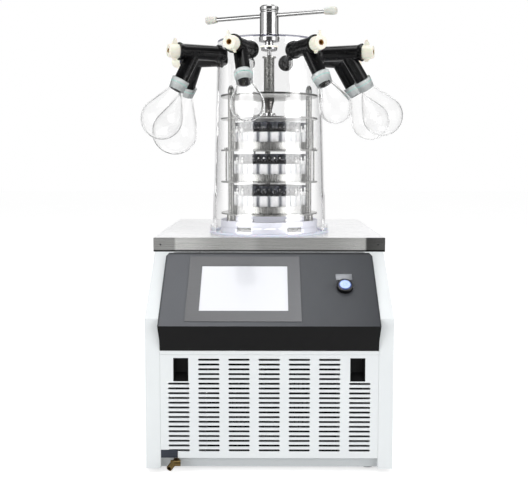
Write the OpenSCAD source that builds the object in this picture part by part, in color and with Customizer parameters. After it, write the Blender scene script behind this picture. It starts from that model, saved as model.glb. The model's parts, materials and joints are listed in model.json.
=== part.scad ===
// Bench-top freeze dryer: white cabinet with the refrigeration set, steel table over a cold trap,
// clear bell with a stoppering rack inside, and a manifold of rubber valves with glass flasks.
// Frame: origin on the floor under the middle of the cabinet, front towards -Y, +Z up, millimetres.

/* [Cabinet] */
// Width of the cabinet over its side walls
cab_w = 454; // [440:1:560]
// Depth of the cabinet from its front face to its rear panel
cab_d = 606; // [590:1:740]
// Height of the cabinet from its lower edge to the table
cab_h = 386; // [372:1:460]
// Height of the upright front face
front_h = 280; // [272:1:300]
// Run of the sloping shoulder, from the front face back to the table
slope_run = 136; // [125:1:150]
// Thickness of the folded sheets
sheet_t = 2; // [1.2:0.1:3]
// Width of the front opening that the grille and the console fill
open_w = 400; // [396:1:420]
// Height of the sill under the front opening
sill_h = 20; // [20:1:30]
// Distance of the sill behind the front face
sill_set = 11; // [6:1:12]
// Height of the rubber feet
foot_h = 8; // [6:1:25]
// Radius of a rubber foot
foot_r = 18; // [12:1:24]
// Distance of each foot's axis from the cabinet's sides
foot_inset = 42; // [30:1:60]

/* [Table] */
// Sideways overhang of the steel table
table_over = 3; // [1:1:12]
// Height of the table's folded edge
skirt_h = 28; // [22:1:40]
// Thickness of the table's steel
table_t = 1.5; // [1:0.1:3]
// Width of the folded lip that rests on the cabinet
lip_w = 18; // [10:1:24]

/* [Console] */
// Width of the console's visor
console_w = 404; // [402:1:426]
// Reach of the visor ahead of the front face
visor_out = 14; // [8:1:20]
// Height of the console's lower edge above the cabinet's lower edge
console_low = 221; // [219:1:240]
// Extra slope of the console's face over the shoulder's
console_lean = 2.6; // [1:0.1:4]
// Wall of the moulded console
console_t = 3; // [2:0.1:4]
// Size of the corners cut from the console's upper edge
console_cut = 13; // [6:1:20]
// Width of the display's bezel
bezel_w = 213; // [195:1:240]
// Height of the display's bezel along the slope
bezel_h = 158; // [140:1:162]
// Middle of the bezel, left of the console's middle
bezel_x = -47.5; // [-60:0.5:-40]
// Height of the bezel's middle along the slope
bezel_s = 89; // [86:0.5:92]
// Width of the touch screen
screen_w = 164; // [120:1:180]
// Height of the touch screen
screen_h = 109; // [80:1:125]
// Place of the power button, right of the console's middle
button_x = 142.5; // [110:0.5:160]
// Height of the power button's middle along the slope
button_s = 91; // [60:1:120]
// Radius of the power button
button_r = 12; // [8:0.5:14]
// Height of the button's collar above the face
collar_h = 8.5; // [5:0.5:12]
// Travel of the power button
button_travel = 2.5; // [1.5:0.5:4]

/* [Grille] */
// Height of the grille panel
grille_h = 193; // [193:1:196]
// Number of slot columns
slot_cols = 7; // [5:2:7]
// Number of slot rows
slot_rows = 20; // [14:1:20]
// Rows left out over the finger cups
short_rows = 5; // [5:1:8]
// Distance between slot columns
col_pitch = 55.2; // [52:0.1:56]
// Distance between slot rows
row_pitch = 8.92; // [7:0.02:9]
// Length of a slot
slot_w = 39; // [30:1:42]
// Height of a slot
slot_h = 4; // [3:0.1:5]
// Distance of the top row below the grille's upper edge
slot_top = 9.2; // [8:0.1:12]
// Width of a finger cup
cup_w = 27.6; // [22:0.1:30]
// Height of a finger cup
cup_h = 43.4; // [36:0.1:44]
// Depth of a finger cup
cup_d = 14; // [9:0.5:18]
// Distance of a finger cup's middle from the grille's middle
cup_x = 161.6; // [158:0.1:168]

/* [Cold trap] */
// Inner radius of the cold trap
trap_r = 100; // [92:1:100]
// Depth of the cold trap
trap_depth = 200; // [170:5:215]
// Wall of the cold trap
trap_t = 1.5; // [1:0.1:2.5]
// Radius of the evaporator tube
coil_r = 4; // [3:0.5:5]
// Turns of the evaporator tube
coil_turns = 6; // [4:1:7]
// Distance between the evaporator's turns
coil_pitch = 19; // [14:0.5:22]
// Thickness of the foam round the trap
foam_t = 24; // [15:1:28]
// Outer radius of the vacuum pipe
pipe_r = 12.5; // [10:0.5:14]

/* [Bell] */
// Distance from the table's front edge to the bell's axis
bell_setback = 135; // [132:1:150]
// Height of the bell over the table, with its seal
bell_h = 404; // [404:1:460]
// Outer radius of the bell's wall at its flange
bell_r = 121; // [119:1:124]
// Outer radius of the bell's wall at its top
bell_top_r = 110; // [110:1:118]
// Thickness of the bell's wall
bell_t = 6; // [4:0.5:7]
// Radius of the bell's flange
flange_r = 127; // [126:1:131]
// Thickness of the bell's flange
flange_t = 12; // [8:1:16]
// Thickness of the bell's top
lid_t = 10; // [8:1:14]
// Thickness of the seal under the bell
seal_t = 4; // [3:0.5:6]
// Distance of the ports' axes below the bell's top
port_drop = 32; // [30:1:40]
// Radius of a port
port_r = 14; // [12:0.5:15]
// Angle of the ring of ports from the middle of the front
port_turn = 3; // [-8:1:8]

/* [Handle] */
// Height of the handle's hub
hub_h = 74; // [66:1:90]
// Radius of the handle's hub
hub_r = 20; // [15:0.5:24]
// Height of the cross bar above the bell
bar_z = 54; // [50:1:58]
// Length of the cross bar over its caps
bar_len = 300; // [220:5:340]
// Radius of the cross bar
bar_r = 4.5; // [3.5:0.5:6]
// Angle of the cross bar from left to right
bar_angle = -23; // [-90:1:90]
// Length of a bar cap
cap_len = 26; // [22:1:34]
// Radius of a bar cap
cap_r = 8.5; // [7.5:0.5:11]
// Radius of the press shaft
shaft_r = 4.5; // [4:0.5:5.5]

/* [Stoppering rack] */
// Radius of the shelves
shelf_r = 103; // [101:1:106]
// Thickness of a shelf
shelf_t = 3; // [2:0.5:3]
// Height of the ring that carries the rack
ring_h = 27; // [20:1:30]
// Height of the collars between the ring and the lowest shelf
rest_h = 12.5; // [6:0.5:14]
// Radius of a guide rod
rod_r = 6; // [4.5:0.5:6]
// Distance of the guide rods from the bell's axis
rod_circle = 93; // [92:0.5:94]
// Clear height between the upper shelf and the crown plate
crown_gap = 44; // [42:1:48]
// Thickness of the crown plate
crown_t = 4; // [3:0.5:6]
// Radius of the press screw
screw_r = 11.5; // [9:0.5:12]
// Length of the press screw's threaded part
screw_len = 92; // [88:1:94]
// Radius of a tray
tray_r = 83; // [82.5:0.5:85]
// Height of a tray's rim
tray_h = 15.5; // [10:0.5:20]
// Thickness of a tray's steel
tray_t = 1.2; // [0.8:0.1:1.5]
// Gap between the stoppers and the shelf above
layer_gap = 6.3; // [4:0.1:6.3]

/* [Vials] */
// Radius of a vial
vial_r = 11; // [9:0.5:11]
// Height of a vial
vial_h = 46; // [38:1:46]
// Distance between vials
vial_pitch = 23; // [22.4:0.1:23]
// Rings of vials round the middle one
vial_rings = 3; // [1:1:3]
// Wall of a vial
vial_t = 1.1; // [0.8:0.1:1.4]
// Radius of a vial's mouth
mouth_r = 6.3; // [5:0.1:6.5]
// Height that a stopper stands off before pressing
stop_lift = 6; // [4:0.5:6]
// Thickness of a stopper's head
stop_head = 4; // [3:0.5:4]

/* [Manifold] */
// Outer radius of a valve's tube
valve_r = 15.5; // [14.5:0.5:17]
// Length of a valve's tube outside the bell
valve_len = 90; // [86:1:110]
// Distance of the leg's root from the bell's axis
leg_at = 168; // [160:1:172]
// Outward tilt of the legs
leg_tilt = 26; // [20:1:32]
// Length of a leg from the tube's axis
leg_len = 62; // [56:1:66]
// Radius of a leg
leg_r = 14; // [13:0.5:15]
// Radius of the bore in tube and leg
bore_r = 8; // [6:0.5:9]
// Length of a knob outside its valve
knob_len = 22; // [20:1:30]
// Radius of a knob's body
knob_r = 14; // [12:0.5:16]
// Reach of a knob's long fin from the knob's axis
fin_up = 25; // [20:1:32]
// Reach of a knob's short fin from the knob's axis
fin_down = 19; // [18:1:24]
// Radius of the hole in a knob
vent_r = 5.5; // [3:0.5:6]
// Length of the flasks' ground necks
neck_len = 24; // [20:1:26]
// Radius of the flasks' necks at the lip
neck_r = 18.5; // [17.5:0.5:20]
// Thickness of the flasks' glass
glass_t = 2; // [1.6:0.1:3]

/* [Clearances] */
// Gap between fixed neighbours
fit_gap = 0.3; // [0.2:0.05:0.5]
// Radial clearance of sliding and turning fits
slide_gap = 0.08; // [0.05:0.01:0.1]
// Radial clearance of fixed plugs and spigots
plug_gap = 0.1; // [0.05:0.01:0.2]

/* [Hidden] */
$fn = 64;

// Cabinet
cab_low = foot_h;
front_y = -cab_d / 2;
rear_y = cab_d / 2;
table_z = cab_low + cab_h;
top_z = table_z + skirt_h;
table_y = front_y + slope_run;
table_w = cab_w + 2 * table_over;
side_in = cab_w / 2 - sheet_t - fit_gap;
pan_top = cab_low + sheet_t;
cab_profile = [
    [front_y, cab_low], [rear_y, cab_low], [rear_y, table_z], [table_y, table_z],
    [front_y, cab_low + front_h],
];
top_flange = 25;
pan_rim = 16;

// Console, as seen from the side: lower lip, nose, upper edge, and the back that sits inside
shoulder_a = atan2(cab_h - front_h, slope_run);
face_a = shoulder_a + console_lean;
nose = [front_y - visor_out, cab_low + front_h - visor_out * tan(shoulder_a)];
face_len = (table_z - 1 - nose[1]) / sin(face_a);
crest = nose + face_len * [cos(face_a), sin(face_a)];
lip = [front_y - 1, cab_low + console_low];
console_back = 46;
console_profile = [
    lip, [lip[0] + console_back, lip[1]], [table_y - fit_gap - 2, crest[1] - 12],
    [table_y - fit_gap - 2, crest[1]], crest, nose,
];
collar_r = button_r + 3.5;
collar_neck_r = button_r + 1.6;
collar_depth = 15;

// Opening's upper corners, cut so that the console's cut corners lap over them
lap = (console_w - open_w) / 2;
crest_drop = table_z - crest[1];
open_cut = console_cut + crest_drop + lap * (sqrt(2) - 1);
inner_cut = open_cut - crest_drop + fit_gap * (sqrt(2) - 1);
bezel_t = 4.2;
bezel_proud = 1.2;
screen_t = 4;
screen_sunk = 0.8;
screen_x = 0.3;

// Drain
drain_x = -172;
drain_z = cab_low + 12;
drain_tube_r = 4.5;
drain_nut_r = 7;

// Mains inlet
inlet_x = 150;
inlet_z = cab_low + 60;
inlet_w = 47;
inlet_h = 27;
inlet_edge = 5;

// Grille
grille_w = open_w - 2 * fit_gap;
grille_low = cab_low + sill_h + fit_gap;
grille_top = grille_low + grille_h;
cup_low = grille_top - 6 - cup_h;

// Cold trap, from the underside of the table's steel down
bell_y = table_y + bell_setback;
trap_top = top_z - table_t;
trap_low = trap_top - trap_depth;
trap_lip = 16;
coil_steps = 28;
coil_circle = (trap_r + trap_t + fit_gap + coil_r) / cos(180 / coil_steps);
coil_low = trap_low + 50;
foam_in = coil_circle + coil_r + 0.6;
foam_top = table_z - sheet_t - 1;
pipe_z = trap_low + 30;
pipe_out = 20;
drain_stub_r = 5;

// Refrigeration set
comp_x = -108;
comp_y = rear_y - 100;
comp_plate = [176, 150];
mount_h = 15;
mount_in = 16;
plate_t = 3;
cond_w = 240;
cond_h = 176;
cond_d = 40;
cond_x = 5;
cond_y = front_y + 18;
fan_z = cab_low + 100;
fan_y = cond_y + cond_d + fit_gap;
fan_hole_r = 78;
fan_shaft_r = 4;
blade_y = fan_y + 14;

// Bell
bell_low = top_z + seal_t;
bell_top = top_z + bell_h;
lid_z = bell_top - lid_t;
port_z = bell_top - port_drop;
gland_r = 9;
washer_t = 3;
gland_flange_t = 6;

// Rack, from the table up
ring_top = top_z + ring_h;
shelf_pitch = shelf_t + tray_t + vial_h + stop_lift + stop_head + layer_gap;
shelf_low = ring_top + rest_h;
function shelf_z(k) = shelf_low + (3 - k) * shelf_pitch;
shelf_top = shelf_z(0) + shelf_t;
crown_z = shelf_top + crown_gap;
boss_t = 4.5;
boss_r = 22;
boss_screw_at = 17.4;
boss_screw_r = 2.5;
housing_step = 5;
housing_h = 11;
screw_neck = 6.5;
screw_nose = 18;
screw_pin_r = 6;
screw_head_t = 3;
screw_low = shelf_top + housing_h + screw_neck;
screw_top = screw_low + screw_nose + screw_len + screw_head_t;
shaft_engage = 60;
spigot_r = rod_r - 2;
rods = [62, 182, 302];
hanger_r = 2;
hanger_circle = 96;
hangers_of_1 = [-48, 100, 215];
hangers_of_2 = [-70, 80, 200];
stop_len = 10;
stop_r = mouth_r - slide_gap;
finish_r = mouth_r + 3.7;
finish_h = 3.6;

// Manifold: each port's angle from the front, the leg's swivel, and the flask's reach and radius
valve_angles = [-22.5, 22.5, -67.5, 67.5, -112.5, 112.5];
valve_swivels = [18, 14, -6, 22, -16, -14];
flask_reach = [74, 74, 89, 89, 116, 89];
flask_radius = [32, 32, 42.5, 42.5, 52.5, 42.5];
plug_angles = [-157.5, 157.5];
wall_slope = (bell_r - bell_top_r) / (bell_h - seal_t - flange_t);
port_wall_r = bell_top_r + port_drop * wall_slope;
valve_in = port_wall_r + 1;
valve_out = valve_in + valve_len;
knob_bore_r = 10;
knob_bore_len = 18;
knob_gap = 0.4;
stub_len = 25;
stub_r = leg_r - 0.6;
stub_end_r = leg_r - 2.8;
knob_turn = [20, -12, 0, 0, 0, 0];

function unit(v) = v / norm(v);
// Outline moved inwards by d, for points that run anticlockwise
function inset(p, d) = [
    for (i = [0:len(p) - 1])
        let (
            before = p[(i + len(p) - 1) % len(p)],
            after = p[(i + 1) % len(p)],
            u = unit(p[i] - before),
            v = unit(after - p[i]),
            n1 = [-u[1], u[0]],
            n2 = [-v[1], v[0]]
        )
        p[i] + (n1 + n2) * d / (1 + n1 * n2)
];
// Points of an arc about [x, y]
function arc(x, y, r, a0, a1, steps) = [
    for (i = [0:steps]) let (a = a0 + (a1 - a0) * i / steps) [x + r * cos(a), y + r * sin(a)]
];
function radial(a) = [sin(a), -cos(a)];

// Side outline drawn out along X
module along_x(w) {
    rotate([90, 0, 90])
        translate([0, 0, -w / 2])
            linear_extrude(w)
                children();
}
// Front outline drawn out along Y
module along_y(y0, y1) {
    translate([0, y1, 0])
        rotate([90, 0, 0])
            linear_extrude(y1 - y0)
                children();
}
module block(x, y, z) {
    translate([x[0], y[0], z[0]])
        cube([x[1] - x[0], y[1] - y[0], z[1] - z[0]]);
}
// Cylinder along Y from y0 to y1
module rod_y(x, z, r, y0, y1) {
    translate([x, y1, z])
        rotate([90, 0, 0])
            cylinder(r = r, h = y1 - y0);
}
module revolve(points) {
    rotate_extrude()
        polygon(points);
}
// On the console's face: X across, Y up the slope, Z out of the face
module on_face() {
    translate([0, nose[0], nose[1]])
        rotate([face_a, 0, 0])
            children();
}
module on_bell() {
    translate([0, bell_y, 0])
        children();
}
// Rod positions on the rack, counted in degrees round from the front
module round_rack(angles, circle) {
    for (a = angles)
        translate(concat(radial(a) * circle + [0, bell_y], [0]))
            children();
}
// At a port: X outwards along the port's axis
module at_port(a) {
    translate([0, bell_y, port_z])
        rotate([0, 0, a + port_turn - 90])
            children();
}
// At the end of a valve's leg: Z on along the leg
module at_leg_end(i) {
    at_port(valve_angles[i])
        translate([leg_at, 0, 0])
            rotate([valve_swivels[i], 0, 0])
                rotate([0, 180 - leg_tilt, 0])
                    translate([0, 0, leg_len])
                        children();
}
// Front outline with its two upper corners cut
module cut_corners(half, low, top, cut) {
    polygon([
        [-half, low], [half, low], [half, top - cut], [half - cut, top], [-half + cut, top],
        [-half, top - cut],
    ]);
}
module slot_2d(w, h) {
    square([w - h, h], center = true);
    for (s = [-1, 1])
        translate([s * (w - h) / 2, 0])
            circle(d = h);
}

// ---- Cabinet ----
module cabinet_shell() {
    inner = inset(cab_profile, sheet_t);
    sill_y = front_y + sill_set;
    half = open_w / 2;
    color("whitesmoke")
        difference() {
            union() {
                difference() {
                    along_x(cab_w)
                        polygon(cab_profile);
                    along_x(cab_w - 2 * sheet_t)
                        polygon([
                            [inner[0][0], cab_low - 1], [rear_y + 1, cab_low - 1],
                            [rear_y + 1, inner[2][1]], inner[3], inner[4],
                        ]);
                    along_y(front_y - 1, table_y)
                        cut_corners(half, cab_low - 1, table_z, open_cut);
                    block(
                        [-cab_w / 2 + top_flange, cab_w / 2 - top_flange],
                        [table_y + top_flange, rear_y - top_flange],
                        [table_z - sheet_t - 1, table_z + 1]
                    );
                }
                // Sill, folded back behind the front face
                block([-half, half], [sill_y, sill_y + sheet_t], [cab_low, cab_low + sill_h]);
                for (s = [-1, 1])
                    block(
                        s > 0 ? [half, half + sheet_t] : [-half - sheet_t, -half],
                        [front_y, sill_y + sheet_t], [cab_low, cab_low + sill_h]
                    );
            }
            rod_y(drain_x, drain_z, drain_tube_r + fit_gap, sill_y - 1, sill_y + sheet_t + 1);
        }
}

module base_pan() {
    y0 = front_y + sill_set + sheet_t + fit_gap;
    y1 = rear_y - sheet_t - fit_gap;
    color("lightgray")
        difference() {
            block([-side_in, side_in], [y0, y1], [cab_low, cab_low + pan_rim]);
            block(
                [-side_in + sheet_t, side_in - sheet_t], [y0 + sheet_t, y1 - sheet_t],
                [pan_top, cab_low + pan_rim + 1]
            );
            rod_y(drain_x, drain_z, drain_nut_r + fit_gap, y0 - 1, y0 + sheet_t + 1);
            // Vents under the compressor
            for (x = [-150:20:-70], y = [150, 220])
                translate([x, y, cab_low - 1])
                    linear_extrude(sheet_t + 2)
                        rotate(90)
                            slot_2d(46, 6);
        }
}

module rear_panel() {
    color("whitesmoke")
        difference() {
            block(
                [-side_in, side_in], [rear_y - sheet_t, rear_y], [cab_low, table_z - sheet_t - fit_gap]
            );
            rod_y(0, pipe_z, pipe_r + fit_gap, rear_y - sheet_t - 1, rear_y + 1);
            block(
                [inlet_x - inlet_w / 2 - fit_gap, inlet_x + inlet_w / 2 + fit_gap],
                [rear_y - sheet_t - 1, rear_y + 1],
                [inlet_z - inlet_h / 2 - fit_gap, inlet_z + inlet_h / 2 + fit_gap]
            );
            // Louvre slots beside the compressor and the control box
            along_y(rear_y - sheet_t - 1, rear_y + 1)
                for (x = [-110, 110], k = [0:9])
                    translate([x, cab_low + 130 + 12 * k])
                        slot_2d(110, 5);
        }
}

module feet() {
    edge = 2;
    color("dimgray")
        for (x = [-1, 1], y = [-1, 1])
            translate([x * (cab_w / 2 - foot_inset), y * (cab_d / 2 - foot_inset), 0])
                revolve([
                    [0, 0], [foot_r - edge - 1, 0], [foot_r - 1, edge], [foot_r, foot_h], [0, foot_h],
                ]);
}

module table_top() {
    w = table_w / 2;
    color("silver")
        difference() {
            block([-w, w], [table_y, rear_y], [table_z, top_z]);
            block(
                [-w + table_t, w - table_t], [table_y + table_t, rear_y - table_t],
                [table_z + table_t, top_z - table_t]
            );
            block(
                [-w + lip_w, w - lip_w], [table_y + lip_w, rear_y - lip_w],
                [table_z - 1, table_z + table_t + 1]
            );
            on_bell()
                cylinder(r = trap_r, h = top_z + 1);
        }
}

module front_grille() {
    fold = 12;
    color("whitesmoke") {
        difference() {
            along_y(front_y, front_y + sheet_t)
                difference() {
                    translate([0, grille_low + grille_h / 2])
                        square([grille_w, grille_h], center = true);
                    for (c = [0:slot_cols - 1]) {
                        outer = c == 0 || c == slot_cols - 1;
                        for (r = [outer ? short_rows : 0:slot_rows - 1])
                            translate([
                                (c - (slot_cols - 1) / 2) * col_pitch,
                                grille_top - slot_top - r * row_pitch,
                            ])
                                slot_2d(slot_w, slot_h);
                    }
                    for (s = [-1, 1])
                        translate([s * cup_x, cup_low + cup_h / 2])
                            square([cup_w, cup_h], center = true);
                }
        }
        // Folded side edges
        for (s = [-1, 1])
            block(
                s > 0 ? [grille_w / 2 - sheet_t, grille_w / 2] : [-grille_w / 2, -grille_w / 2 + sheet_t],
                [front_y + sheet_t, front_y + fold], [grille_low, grille_top]
            );
        // Folded lower edge
        block(
            [-grille_w / 2, grille_w / 2], [front_y + sheet_t, front_y + fold],
            [grille_low, grille_low + sheet_t]
        );
    }
}

module finger_cups() {
    wall = 1.5;
    w = cup_w / 2 - plug_gap;
    color("black")
        for (s = [-1, 1])
            translate([s * cup_x, 0, 0])
                difference() {
                    block(
                        [-w, w], [front_y, front_y + cup_d],
                        [cup_low + plug_gap, cup_low + cup_h - plug_gap]
                    );
                    // Pocket that runs deeper towards the top, as a pull
                    along_x(2 * (w - wall))
                        polygon([
                            [front_y - 1, cup_low + wall], [front_y + 2, cup_low + wall],
                            [front_y + cup_d - wall, cup_low + 14],
                            [front_y + cup_d - wall, cup_low + cup_h - wall],
                            [front_y - 1, cup_low + cup_h - wall],
                        ]);
                }
}

// ---- Console ----
module console() {
    half = console_w / 2;
    inner_half = grille_w / 2;
    skew = 4;
    through = 10;
    hollow = inset(console_profile, console_t);
    hollow_half = inner_half - console_t;
    // Hole on the face's own axes, through the wall
    module face_hole(x, s, w, h) {
        on_face()
            translate([x - w / 2, s - h / 2, -30])
                cube([w, h, 40]);
    }
    color("dimgray")
        difference() {
            union() {
                intersection() {
                    along_x(grille_w)
                        polygon(console_profile);
                    along_y(nose[0] - 1, table_y)
                        cut_corners(inner_half, cab_low, crest[1], inner_cut);
                }
                // Visor that laps over the edges of the opening
                intersection() {
                    difference() {
                        along_x(console_w)
                            polygon(console_profile);
                        along_x(cab_w)
                            polygon(inset(cab_profile, -fit_gap));
                    }
                    along_y(nose[0] - 1, table_y)
                        polygon([
                            [-half + skew, lip[1]], [half - skew, lip[1]], [half, nose[1]],
                            [half, crest[1] - console_cut], [half - console_cut, crest[1]],
                            [-half + console_cut, crest[1]], [-half, crest[1] - console_cut],
                            [-half, nose[1]],
                        ]);
                }
            }
            // Hollow, open behind
            intersection() {
                along_x(2 * hollow_half)
                    polygon([
                        hollow[0], hollow[1] + [through, 0], hollow[2] + [through, 0],
                        hollow[3] + [through, 0], hollow[4], hollow[5],
                    ]);
                along_y(nose[0], table_y + through)
                    cut_corners(
                        hollow_half, cab_low, crest[1] - console_t,
                        inner_cut - console_t * (2 - sqrt(2))
                    );
            }
            face_hole(bezel_x, bezel_s, bezel_w + 2 * plug_gap, bezel_h + 2 * plug_gap);
            on_face()
                translate([button_x, button_s, -30])
                    cylinder(r = collar_neck_r + plug_gap, h = 40);
        }
}

module display_bezel() {
    color("gray")
        on_face()
            difference() {
                translate([bezel_x, bezel_s, bezel_proud - bezel_t / 2])
                    cube([bezel_w, bezel_h, bezel_t], center = true);
                translate([bezel_x + screen_x, bezel_s, bezel_proud - bezel_t / 2])
                    cube([screen_w + 2 * plug_gap, screen_h + 2 * plug_gap, bezel_t + 2], center = true);
            }
}

module touch_screen() {
    color("white")
        on_face()
            translate([bezel_x + screen_x, bezel_s, bezel_proud - screen_sunk - screen_t / 2])
                cube([screen_w, screen_h, screen_t], center = true);
}

module button_collar() {
    edge = 1;
    floor_t = 2;
    color("darkslategray")
        on_face()
            translate([button_x, button_s, 0])
                revolve([
                    [0, -collar_depth], [collar_neck_r, -collar_depth], [collar_neck_r, 0.05],
                    [collar_r, 0.05],
                    [collar_r, collar_h - edge], [collar_r - edge, collar_h],
                    [button_r + slide_gap, collar_h], [button_r + slide_gap, floor_t - collar_depth],
                    [0, floor_t - collar_depth],
                ]);
}

module power_button() {
    low = 2 + button_travel + 0.5 - collar_depth;
    color("lightblue")
        on_face()
            translate([button_x, button_s, 0])
                revolve([
                    [0, low], [button_r, low], [button_r, collar_h - 0.4], [button_r - 0.8, collar_h + 0.6],
                    [button_r - 2.4, collar_h + 1], [button_r - 3, collar_h + 0.4], [0, collar_h + 0.9],
                ]);
}

// ---- Drain ----
// Brass elbow: a tube through the sill, a round body under the grille and a short mouth
module drain_elbow() {
    sill_back = front_y + sill_set + sheet_t;
    body_y = front_y - 4;
    body_r = 5.5;
    mouth_turn = 26;
    mouth_drop = 20;
    mouth_len = 15;
    bore = 2.5;
    // At the body's left end, with Z out along the mouth
    module at_mouth() {
        translate([drain_x - 4, body_y, drain_z])
            rotate([90 + mouth_drop, 0, -mouth_turn])
                children();
    }
    color("goldenrod")
        difference() {
            union() {
                rod_y(drain_x, drain_z, drain_tube_r, body_y, front_y + 40);
                // Back nut inside, collar outside
                translate([drain_x, front_y + 40, drain_z])
                    rotate([90, 0, 0])
                        cylinder(r = drain_nut_r, h = front_y + 40 - sill_back - fit_gap, $fn = 6);
                rod_y(
                    drain_x, drain_z, drain_nut_r - 1, front_y + 4, front_y + sill_set - fit_gap
                );
                translate([drain_x - 9, body_y, drain_z])
                    rotate([0, 90, 0])
                        cylinder(r = body_r, h = 18);
                at_mouth()
                    cylinder(r = body_r, h = mouth_len);
            }
            rod_y(drain_x, drain_z, bore, body_y, front_y + 41);
            at_mouth()
                cylinder(r = body_r - 1.5, h = mouth_len + 1);
        }
}

// ---- Cold trap ----
module trap_pot() {
    corner = 12;
    color("silver")
        on_bell()
            difference() {
                revolve(concat(
                    [[0, trap_low - trap_t]],
                    arc(trap_r - corner, trap_low - trap_t + corner + trap_t, corner + trap_t, -90, 0, 6),
                    [[trap_r + trap_t, trap_top - 2], [trap_r + trap_lip, trap_top - 2]],
                    [[trap_r + trap_lip, trap_top], [trap_r, trap_top]],
                    arc(trap_r - corner, trap_low + corner, corner, 0, -90, 6),
                    [[0, trap_low]]
                ));
                translate([0, 0, pipe_z])
                    rotate([-90, 0, 0])
                        cylinder(r = pipe_r + plug_gap, h = trap_r + 20);
                translate([0, 0, trap_low - trap_t - 1])
                    cylinder(r = drain_stub_r - 1.2, h = trap_t + 2);
            }
}

// Evaporator tube wound round the trap
module trap_coil() {
    sides = 6;
    rings = coil_turns * coil_steps;
    points = [
        for (i = [0:rings], j = [0:sides - 1])
            let (
                turn = 360 * i / coil_steps,
                a = 360 * j / sides,
                r = coil_circle + coil_r * cos(a)
            )
            [r * cos(turn), r * sin(turn), coil_low + coil_pitch * i / coil_steps + coil_r * sin(a)]
    ];
    walls = [
        for (i = [0:rings - 1], j = [0:sides - 1])
            let (k = (j + 1) % sides)
            [i * sides + j, i * sides + k, (i + 1) * sides + k, (i + 1) * sides + j]
    ];
    first = [for (j = [sides - 1:-1:0]) j];
    last = [for (j = [0:sides - 1]) rings * sides + j];
    color("peru")
        on_bell()
            polyhedron(points, concat(walls, [first, last]));
}

module trap_insulation() {
    low = trap_low - trap_t - fit_gap;
    color("ivory")
        on_bell()
            difference() {
                revolve([
                    [0, low - foam_t], [foam_in + foam_t, low - foam_t],
                    [foam_in + foam_t, foam_top], [foam_in, foam_top],
                    [foam_in, low], [0, low],
                ]);
                translate([0, 0, pipe_z])
                    rotate([-90, 0, 0])
                        cylinder(r = pipe_r + fit_gap, h = foam_in + foam_t + 20);
                translate([0, 0, low - foam_t - 1])
                    cylinder(r = drain_stub_r, h = foam_t + 2);
            }
}

// Vacuum pipe with a flange that tapers on its inner side
module vacuum_port() {
    flange = 20;
    length = rear_y + pipe_out - bell_y - trap_r + 1;
    color("silver")
        translate([0, bell_y + trap_r - 1, pipe_z])
            rotate([-90, 0, 0])
                revolve([
                    [pipe_r - 1.5, 0], [pipe_r, 0], [pipe_r, length - 7], [flange, length - 4],
                    [flange, length], [pipe_r - 1.5, length],
                ]);
}

// ---- Refrigeration ----
module compressor() {
    z = pan_top + mount_h;
    color("dimgray")
        translate([comp_x, comp_y, z]) {
            translate([0, 0, plate_t / 2])
                cube([comp_plate[0], comp_plate[1], plate_t], center = true);
            translate([0, 0, plate_t])
                revolve(concat(
                    [[0, 0], [55, 0], [68, 10], [72, 70], [76, 72], [76, 76], [72, 78]],
                    arc(42, 112, 30, 0, 90, 5),
                    [[0, 146]]
                ));
            // Terminal cover and the two pipe stubs
            translate([0, -72, 70])
                cube([54, 26, 44], center = true);
            for (x = [-40, 40])
                translate([x, 0, 100])
                    cylinder(r = 5, h = 58);
        }
}

module compressor_mounts() {
    color("black")
        for (x = [-1, 1], y = [-1, 1])
            translate([
                comp_x + x * (comp_plate[0] / 2 - mount_in),
                comp_y + y * (comp_plate[1] / 2 - mount_in),
                pan_top,
            ])
                revolve([
                    [0, 0], [13, 0], [13, 4], [9, 6], [9, mount_h - 5], [13, mount_h - 3],
                    [13, mount_h], [0, mount_h],
                ]);
}

module condenser() {
    rows = 5;
    fins = 30;
    z0 = pan_top + fit_gap;
    tube_r = 4.5;
    color("silver")
        translate([cond_x, cond_y, z0]) {
            for (s = [-1, 1])
                translate([s * (cond_w / 2 - 1), cond_d / 2, cond_h / 2])
                    cube([2, cond_d, cond_h], center = true);
            for (i = [1:fins])
                translate([-cond_w / 2 + i * cond_w / (fins + 1), cond_d / 2, cond_h / 2])
                    cube([0.8, cond_d - 6, cond_h - 8], center = true);
            for (k = [0:rows - 1])
                translate([-cond_w / 2 - 4, cond_d / 2, cond_h * (k + 0.5) / rows])
                    rotate([0, 90, 0])
                        cylinder(r = tube_r, h = cond_w + 8);
        }
}

module fan_shroud() {
    wall = 2;
    color("dimgray")
        difference() {
            union() {
                block(
                    [cond_x - cond_w / 2, cond_x + cond_w / 2], [fan_y, fan_y + wall],
                    [pan_top + fit_gap, pan_top + fit_gap + cond_h]
                );
                rod_y(cond_x, fan_z, fan_hole_r + wall, fan_y, fan_y + 26);
            }
            rod_y(cond_x, fan_z, fan_hole_r, fan_y - 1, fan_y + 27);
        }
}

module fan_blades() {
    blades = 5;
    hub = 22;
    tip = fan_hole_r - 4;
    camber_r = 46;
    blade_t = 1.6;
    chord = 38;
    pitch = 34;
    // Strip of a thin tube, so that the blade is cambered
    module blade(span) {
        intersection() {
            difference() {
                cylinder(r = camber_r, h = span);
                translate([0, 0, -1])
                    cylinder(r = camber_r - blade_t, h = span + 2);
            }
            translate([-chord / 2, 0, 0])
                cube([chord, camber_r + 1, span]);
        }
    }
    color("darkgray")
        difference() {
            union() {
                rod_y(cond_x, fan_z, hub, blade_y - 11, blade_y + 11);
                translate([cond_x, blade_y, fan_z])
                    for (i = [0:blades - 1])
                        rotate([0, i * 360 / blades, 0])
                            translate([0, 0, hub - 4])
                                rotate([0, 0, pitch])
                                    translate([0, -camber_r, 0])
                                        blade(tip - hub);
            }
            rod_y(cond_x, fan_z, fan_shaft_r + slide_gap, blade_y - 12, blade_y + 12);
        }
}

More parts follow.
